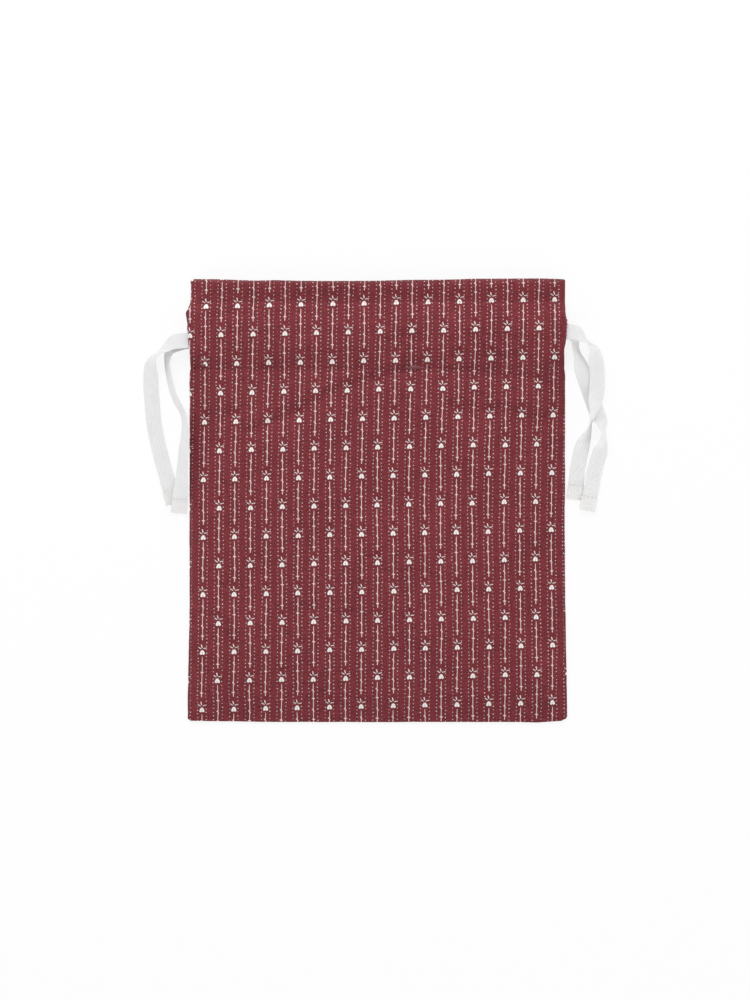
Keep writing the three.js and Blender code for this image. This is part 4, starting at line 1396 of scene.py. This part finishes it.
def side_flap(shape, sheets, side, rows, edge, table_height, inward, facing_down):
    """The strip beyond a panel's side edge: a hem turned in beside the slit, a short rolled lip at a seam."""
    open_part = step(rows, shape.slit_foot + 1, shape.slit_foot + SLIT_HEM_EASE) * (
        1 - step(rows, shape.slit_head - SLIT_HEM_EASE, shape.slit_head - 1)
    )
    hem = (2 * shape.cloth + GAP) / 2
    radius = LIP_RADIUS + (hem - LIP_RADIUS) * open_part
    quarter = math.pi / 2 * radius
    length = quarter + TUCK + (quarter + SLIT_HEM_WIDTH - TUCK) * open_part
    share = np.concatenate([np.linspace(0, 0.30, 8)[:-1], np.linspace(0.30, 1, 6)])
    points, flat = [], []
    for y, start, r, l in zip(rows, edge, radius, length):
        x, depth = turn_over(start, share * l, r, 1, 1)
        heights = table_height(side * np.minimum(x, start), np.full(len(x), y))
        z = heights + inward * depth
        points.append(np.stack([side * x, np.full(len(x), y), z], -1))
        flat.append(np.stack([side * (start + share * l), np.full(len(x), y)], -1))
    wear = np.tile(np.clip(1 - share * 3, 0, 1), (len(rows), 1))
    sheets.patch(points, flat, turned=(side > 0) == facing_down, edge=wear)


class GIFTBAG_OT_front_cloth(bpy.types.Operator):
    """Adds the front: one cloth whose top folds inside as the facing and whose slit edges are hemmed"""

    bl_idname = "giftbag.front_cloth"
    bl_label = "Front cloth"
    bl_options = {"REGISTER", "UNDO"}

    def execute(self, context):
        shape = BagShape(context.scene.gift_bag_sizes)
        piece = panel_cloth(context, shape, "front", FRONT_SPACING)
        return {"FINISHED"}


class GIFTBAG_OT_back_cloth(bpy.types.Operator):
    """Adds the back: the same cloth, lying on the table, whose left slit edge peeks out"""

    bl_idname = "giftbag.back_cloth"
    bl_label = "Back cloth"
    bl_options = {"REGISTER", "UNDO"}

    def execute(self, context):
        shape = BagShape(context.scene.gift_bag_sizes)
        piece = panel_cloth(context, shape, "back", BACK_SPACING)
        return {"FINISHED"}


def panel_cloth(context, shape, face, spacing):
    """A whole panel with its facing, slit hems and rolled seam edges, in one mesh."""
    front = face == "front"
    surface = shape.front if front else shape.back
    inward = -1 if front else 1
    tables = (FRONT_LEFT_EDGE, FRONT_RIGHT_EDGE) if front else (BACK_LEFT_EDGE, BACK_RIGHT_EDGE)
    foot, top = -shape.half_height, shape.half_height
    # Rows lie closer at the foot, the slits' ends, the mouth and both stitch lines
    near = [
        (foot, foot + 6, spacing * 0.45),
        (shape.slit_foot - 1, shape.slit_foot + 7, spacing * 0.7),
        (shape.slit_head - 11, shape.slit_head + 1, 0.9),
        (top - 2, top, spacing * 0.5),
        (shape.upper_stitch - 2.4, shape.upper_stitch + 2.4, spacing * 0.45),
        (shape.lower_stitch - 2.4, shape.lower_stitch + 2.4, spacing * 0.45),
    ]
    rows = spaced(foot, top, spacing, near)
    half = shape.top_half
    at_sides = ((-half, -half + 4, spacing * 0.45), (half - 4, half, spacing * 0.45))
    columns = spaced(-half, half, spacing, at_sides)
    fold = (2 * shape.cloth + GAP) / 2
    across, along = np.meshgrid(columns, rows)
    left = shape.side_edge(-1, rows, tables[0]) - LIP_ROOM
    right = shape.side_edge(1, rows, tables[1]) - LIP_ROOM
    x = np.where(across < 0, across / half * left[:, None], across / half * right[:, None])
    foot_edge = foot + FOOT_LIP_ROOM - from_table(x, FOOT_EDGE) + 0.12 * rough(x, 3, 11, 91)
    low = 1 - step(along, foot, foot + 12)
    high = step(along, shape.upper_stitch, top)
    y = along + (shape.mouth_edge(x) - fold - top) * high + (foot_edge - foot) * low
    z = surface(x, y)
    sheets = Sheets()
    wear = np.maximum(np.exp(-(top - along) / 0.8), 0.0)
    flat = shape.pulled(x, y) if front else np.stack([x, y], -1)
    sheets.patch(np.stack([x, y, z], -1), flat, turned=not front, edge=wear)
    side_flap(shape, sheets, -1, y[:, 0], left, surface, inward, not front)
    side_flap(shape, sheets, 1, y[:, -1], right, surface, inward, not front)
    plain = shape.plain_front if front else shape.back
    facing(shape, sheets, surface, plain, x[-1], y[-1], inward, front, fold)

    # A short lip rolls in along the foot seam
    length = np.array([0, 0.12, 0.25, 0.4, 0.55, 0.69])
    out, depth = turn_over(0.0, length, LIP_RADIUS, 1, 1)
    places = np.tile(x[0], (len(length), 1))
    points = np.stack([places, y[0] - out[:, None], z[0] + inward * depth[:, None]], -1)
    flat = np.stack([places, y[0] - length[:, None]], -1)
    sheets.patch(points, flat, turned=front)

    colours = context.scene.gift_bag_colours
    mesh = sheets.mesh(f"{face}_cloth")
    piece = new_piece(f"{face}_cloth", mesh, [printed_cloth(colours), cloth_reverse(colours)])
    thicken(piece, shape.cloth)
    hems = [f"{face}_left_slit_hem", f"{face}_right_slit_hem"]
    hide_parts(f"{face}_panel", f"{face}_facing", *hems)
    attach(piece, "bag")
    return piece


def facing(shape, sheets, surface, plain, x, edge, inward, front, fold):
    """The top of a panel turned down inside: round the mouth's fold, then down to its raw lower edge."""
    arc = np.linspace(0, math.pi * fold, 8)
    top = shape.highest_tape + GAP
    down = spaced(shape.facing_foot, float(edge.min()) - 0.3, 2.4,
                  ((shape.lower_stitch - 0.6, shape.lower_stitch + STITCH_RAMP + 0.6, 0.5),
                   (top - 0.6, top + STITCH_RAMP + 0.6, 0.5)))[::-1]
    depth_in = shape.front_hem - shape.front_facing if front else shape.back_facing - shape.layer
    points, flat, wide = [], [], np.abs(x) <= shape.facing_half + 0.6
    for length in arc:
        out, depth = turn_over(0.0, length, fold, 1, 1)
        level = surface(x, np.minimum(edge + out, edge))
        points.append(np.stack([x, edge + out, level + inward * depth], -1))
        flat.append(np.stack([x, edge + length], -1))
    for y in down:
        level = np.full(len(x), y)
        share = shape.channel(level)
        height = surface(x, level) * (1 - share) + plain(x, level) * share
        points.append(np.stack([x, level, height + inward * (2 * fold + depth_in * share)], -1))
        flat.append(np.stack([x, edge + math.pi * fold + edge - y], -1))
    count = len(points)
    keep = np.ones((count - 1, len(x) - 1), bool)
    both = wide[:-1] & wide[1:]
    keep[len(arc) + 1 :, ~both] = False
    worn = np.array([1, 1, 0.9, 0.6, 0.3, 0.1])
    wear = np.zeros((count, len(x)))
    wear[: len(worn)] = worn[:, None]
    sheets.patch(points, flat, keep=keep, turned=not front, edge=wear)


def cloth_strip(name, points, flat, materials, thickness, turned):
    """A strip of cloth over a grid of points, given its thickness."""
    sheets = Sheets()
    sheets.patch(points, flat, turned=turned)
    piece = new_piece(name, sheets.mesh(name), materials)
    thicken(piece, thickness, reverse=False)
    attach(piece, "bag")
    return piece


class GIFTBAG_OT_seams(bpy.types.Operator):
    """Adds the seam allowances with their overlocked edges, and the folds that close the facing's sides"""

    bl_idname = "giftbag.seams"
    bl_label = "Seams"
    bl_options = {"REGISTER", "UNDO"}

    def allowance(self, shape, name, x, y, colours, fit, loops):
        """Two layers of cloth sewn together, with the overlock thread over their inner edge."""
        base = shape.back(x, y) + shape.layer + 0.01
        materials = [cloth_reverse(colours)]
        flat = np.stack([x, y], -1)
        for layer, title in ((0, name), (1, f"{name}_upper_layer")):
            z = base + layer * (shape.cloth + SEWN_GAP) + 0.03 * rough(x, y, 6, 131 + layer)
            points = np.stack([x, y, z], -1)
            cloth_strip(title, points, flat, materials, shape.cloth - SEWN_GAP, turned=True)
        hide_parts(fit)
        across, along = loops
        lines = []
        for px, py in zip(across, along):
            level = float(shape.back(px[0], py[0])) + shape.layer + 2 * shape.cloth + 0.09
            lines.append([((px[0], py[0], level), (0, 0, 1)), ((px[1], py[1], level), (0, 0, 1))])
        thread = sewing_thread("burgundy_thread", tuple(colours.thread))
        edging = row_of_stitches(f"{name}_overlock", lines, 3.0, thread, gap=0.1)
        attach(edging, "bag")

    @staticmethod
    def flat_size(x, y):
        return (max(0.01, float(np.ptp(x)) * MM), max(0.01, float(np.ptp(y)) * MM))

    def execute(self, context):
        shape = BagShape(context.scene.gift_bag_sizes)
        colours = context.scene.gift_bag_colours
        foot = -shape.half_height
        for name, side in SIDES.items():
            for part, low, high, width in (
                ("side", foot + 3.2, shape.slit_foot, SEAM_WIDTH),
                ("header", shape.slit_head, shape.half_height - 1.6, HEADER_SEAM_WIDTH),
            ):
                rows = np.linspace(low, high, max(3, int((high - low) / 5)))
                inset = np.linspace(SEAM_EDGE, SEAM_END + width, 6)
                table = BACK_LEFT_EDGE if side < 0 else BACK_RIGHT_EDGE
                edge = shape.side_edge(side, rows, table)
                x = side * (edge[:, None] - inset[None, :])
                y = np.tile(rows[:, None], (1, 6))
                if side > 0:
                    x, y = x[:, ::-1], y[:, ::-1]
                marks = np.arange(low + 1, high - 1, OVERLOCK_PITCH)
                inner = [side * (float(shape.side_edge(side, m, table)) - SEAM_END - width) for m in marks]
                across = [(q, q + side * OVERLOCK_REACH) for q in inner]
                loops = (across, [(m, m + OVERLOCK_SLANT) for m in marks])
                self.allowance(shape, f"{name}_{part}_allowance", x, y, colours, f"{name}_{part}_seam", loops)
            self.facing_fold(shape, name, side, colours)
        reach = shape.top_half - SEAM_END - SEAM_WIDTH - 0.6
        columns = np.linspace(-reach, reach, 48)
        insets = np.linspace(SEAM_EDGE, SEAM_END + SEAM_WIDTH, 6)
        x, y = np.meshgrid(columns, foot + insets)
        marks = np.arange(-reach + 1, reach - 2, OVERLOCK_PITCH)
        inner = foot + SEAM_END + SEAM_WIDTH
        loops = ([(m, m + OVERLOCK_SLANT) for m in marks], [(inner, inner - OVERLOCK_REACH) for _ in marks])
        self.allowance(shape, "foot_allowance", x[:, ::-1], y[:, ::-1], colours, "bottom_seam", loops)
        return {"FINISHED"}

    def facing_fold(self, shape, name, side, colours):
        """The facing's side, which rounds from its front to its back behind the slit."""
        low, high = shape.lower_stitch + STITCH_RAMP, shape.highest_tape
        rows = np.linspace(low, high, 15)
        angles = np.linspace(-math.pi / 2, math.pi / 2, 21)
        radius = (shape.front_facing + shape.cloth - shape.back_facing) / 2
        angle, y = np.meshgrid(angles, rows)
        bulge = radius + 0.10 * rough(angle * 3, y, 4, 141) * np.cos(angle)
        seam = -0.35 * np.exp(-((angle / 0.16) ** 2))
        x = side * (shape.turn_centre + (bulge + seam) * np.cos(angle))
        z = shape.side_level + radius * np.sin(angle)
        points = np.stack([x, y, z], -1)
        flat = np.stack([side * (shape.facing_half + radius * (angle + math.pi / 2)), y], -1)
        materials = [cloth_reverse(colours)]
        title = f"{name}_facing_fold"
        piece = cloth_strip(title, points, flat, materials, shape.cloth, turned=side > 0)
        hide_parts(f"{name}_facing_seam")


class GIFTBAG_OT_stitching(bpy.types.Operator):
    """Adds the machine stitching: the channel's two lines on both faces, and the rows beside the slits"""

    bl_idname = "giftbag.stitching"
    bl_label = "Stitching"
    bl_options = {"REGISTER", "UNDO"}

    def execute(self, context):
        shape = BagShape(context.scene.gift_bag_sizes)
        thread = sewing_thread("burgundy_thread", tuple(context.scene.gift_bag_colours.thread))
        for face, surface, up in (("front", shape.front, 1), ("back", shape.back, -1)):
            lines = []
            for level in (shape.upper_stitch, shape.lower_stitch):
                x = np.linspace(-shape.top_half + 2.2, shape.top_half - 2.2, 160)
                y = level + 0.25 * rough(x, level, 30, 151)
                lines.append(self.line(surface, x, y, up))
            piece = row_of_stitches(f"{face}_channel_stitches", lines, shape.stitch, thread)
            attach(piece, "bag")
            rows = np.linspace(shape.slit_foot + 4, shape.slit_head - 4, 40)
            beside = shape.top_half - SLIT_STITCH_INSET
            lines = [self.line(surface, np.full(len(rows), side * beside), rows, up) for side in (-1, 1)]
            piece = row_of_stitches(f"{face}_slit_stitches", lines, shape.stitch, thread)
            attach(piece, "bag")
        return {"FINISHED"}

    @staticmethod
    def line(surface, x, y, up):
        """Places just off a surface, each with the way that is up there."""
        near = 0.2
        z = surface(x, y) + up * 0.05
        rise = (surface(x + near, y) - surface(x - near, y)) / (2 * near)
        slope = (surface(x, y + near) - surface(x, y - near)) / (2 * near)
        return [((a, b, c), (-up * p, -up * q, up)) for a, b, c, p, q in zip(x, y, z, rise, slope)]


class GIFTBAG_PT_panel(bpy.types.Panel):
    bl_idname = "GIFTBAG_PT_panel"
    bl_label = "Gift bag"
    bl_space_type = "VIEW_3D"
    bl_region_type = "UI"
    bl_category = "Gift bag"

    def draw(self, context):
        scene = context.scene
        for title, settings in (("Sizes", scene.gift_bag_sizes), ("Colours", scene.gift_bag_colours)):
            box = self.layout.box()
            box.label(text=title)
            for name in settings.bl_rna.properties.keys():
                if name not in ("rna_type", "name"):
                    box.prop(settings, name)
        column = self.layout.column(align=True)
        for operator in OPERATORS:
            column.operator(operator.bl_idname)


OPERATORS = (
    GIFTBAG_OT_stage,
    GIFTBAG_OT_drawstrings,
    GIFTBAG_OT_back_cloth,
    GIFTBAG_OT_front_cloth,
    GIFTBAG_OT_seams,
    GIFTBAG_OT_stitching,
)
CLASSES = (GiftBagSizes, GiftBagColours, *OPERATORS, GIFTBAG_PT_panel)


def register():
    for cls in CLASSES:
        bpy.utils.register_class(cls)
    bpy.types.Scene.gift_bag_sizes = PointerProperty(type=GiftBagSizes)
    bpy.types.Scene.gift_bag_colours = PointerProperty(type=GiftBagColours)


def unregister():
    del bpy.types.Scene.gift_bag_colours
    del bpy.types.Scene.gift_bag_sizes
    for cls in reversed(CLASSES):
        bpy.utils.unregister_class(cls)


def main():
    register()
    for operator in OPERATORS:
        category, name = operator.bl_idname.split(".")
        getattr(getattr(bpy.ops, category), name)()


if __name__ == "__main__":
    main()
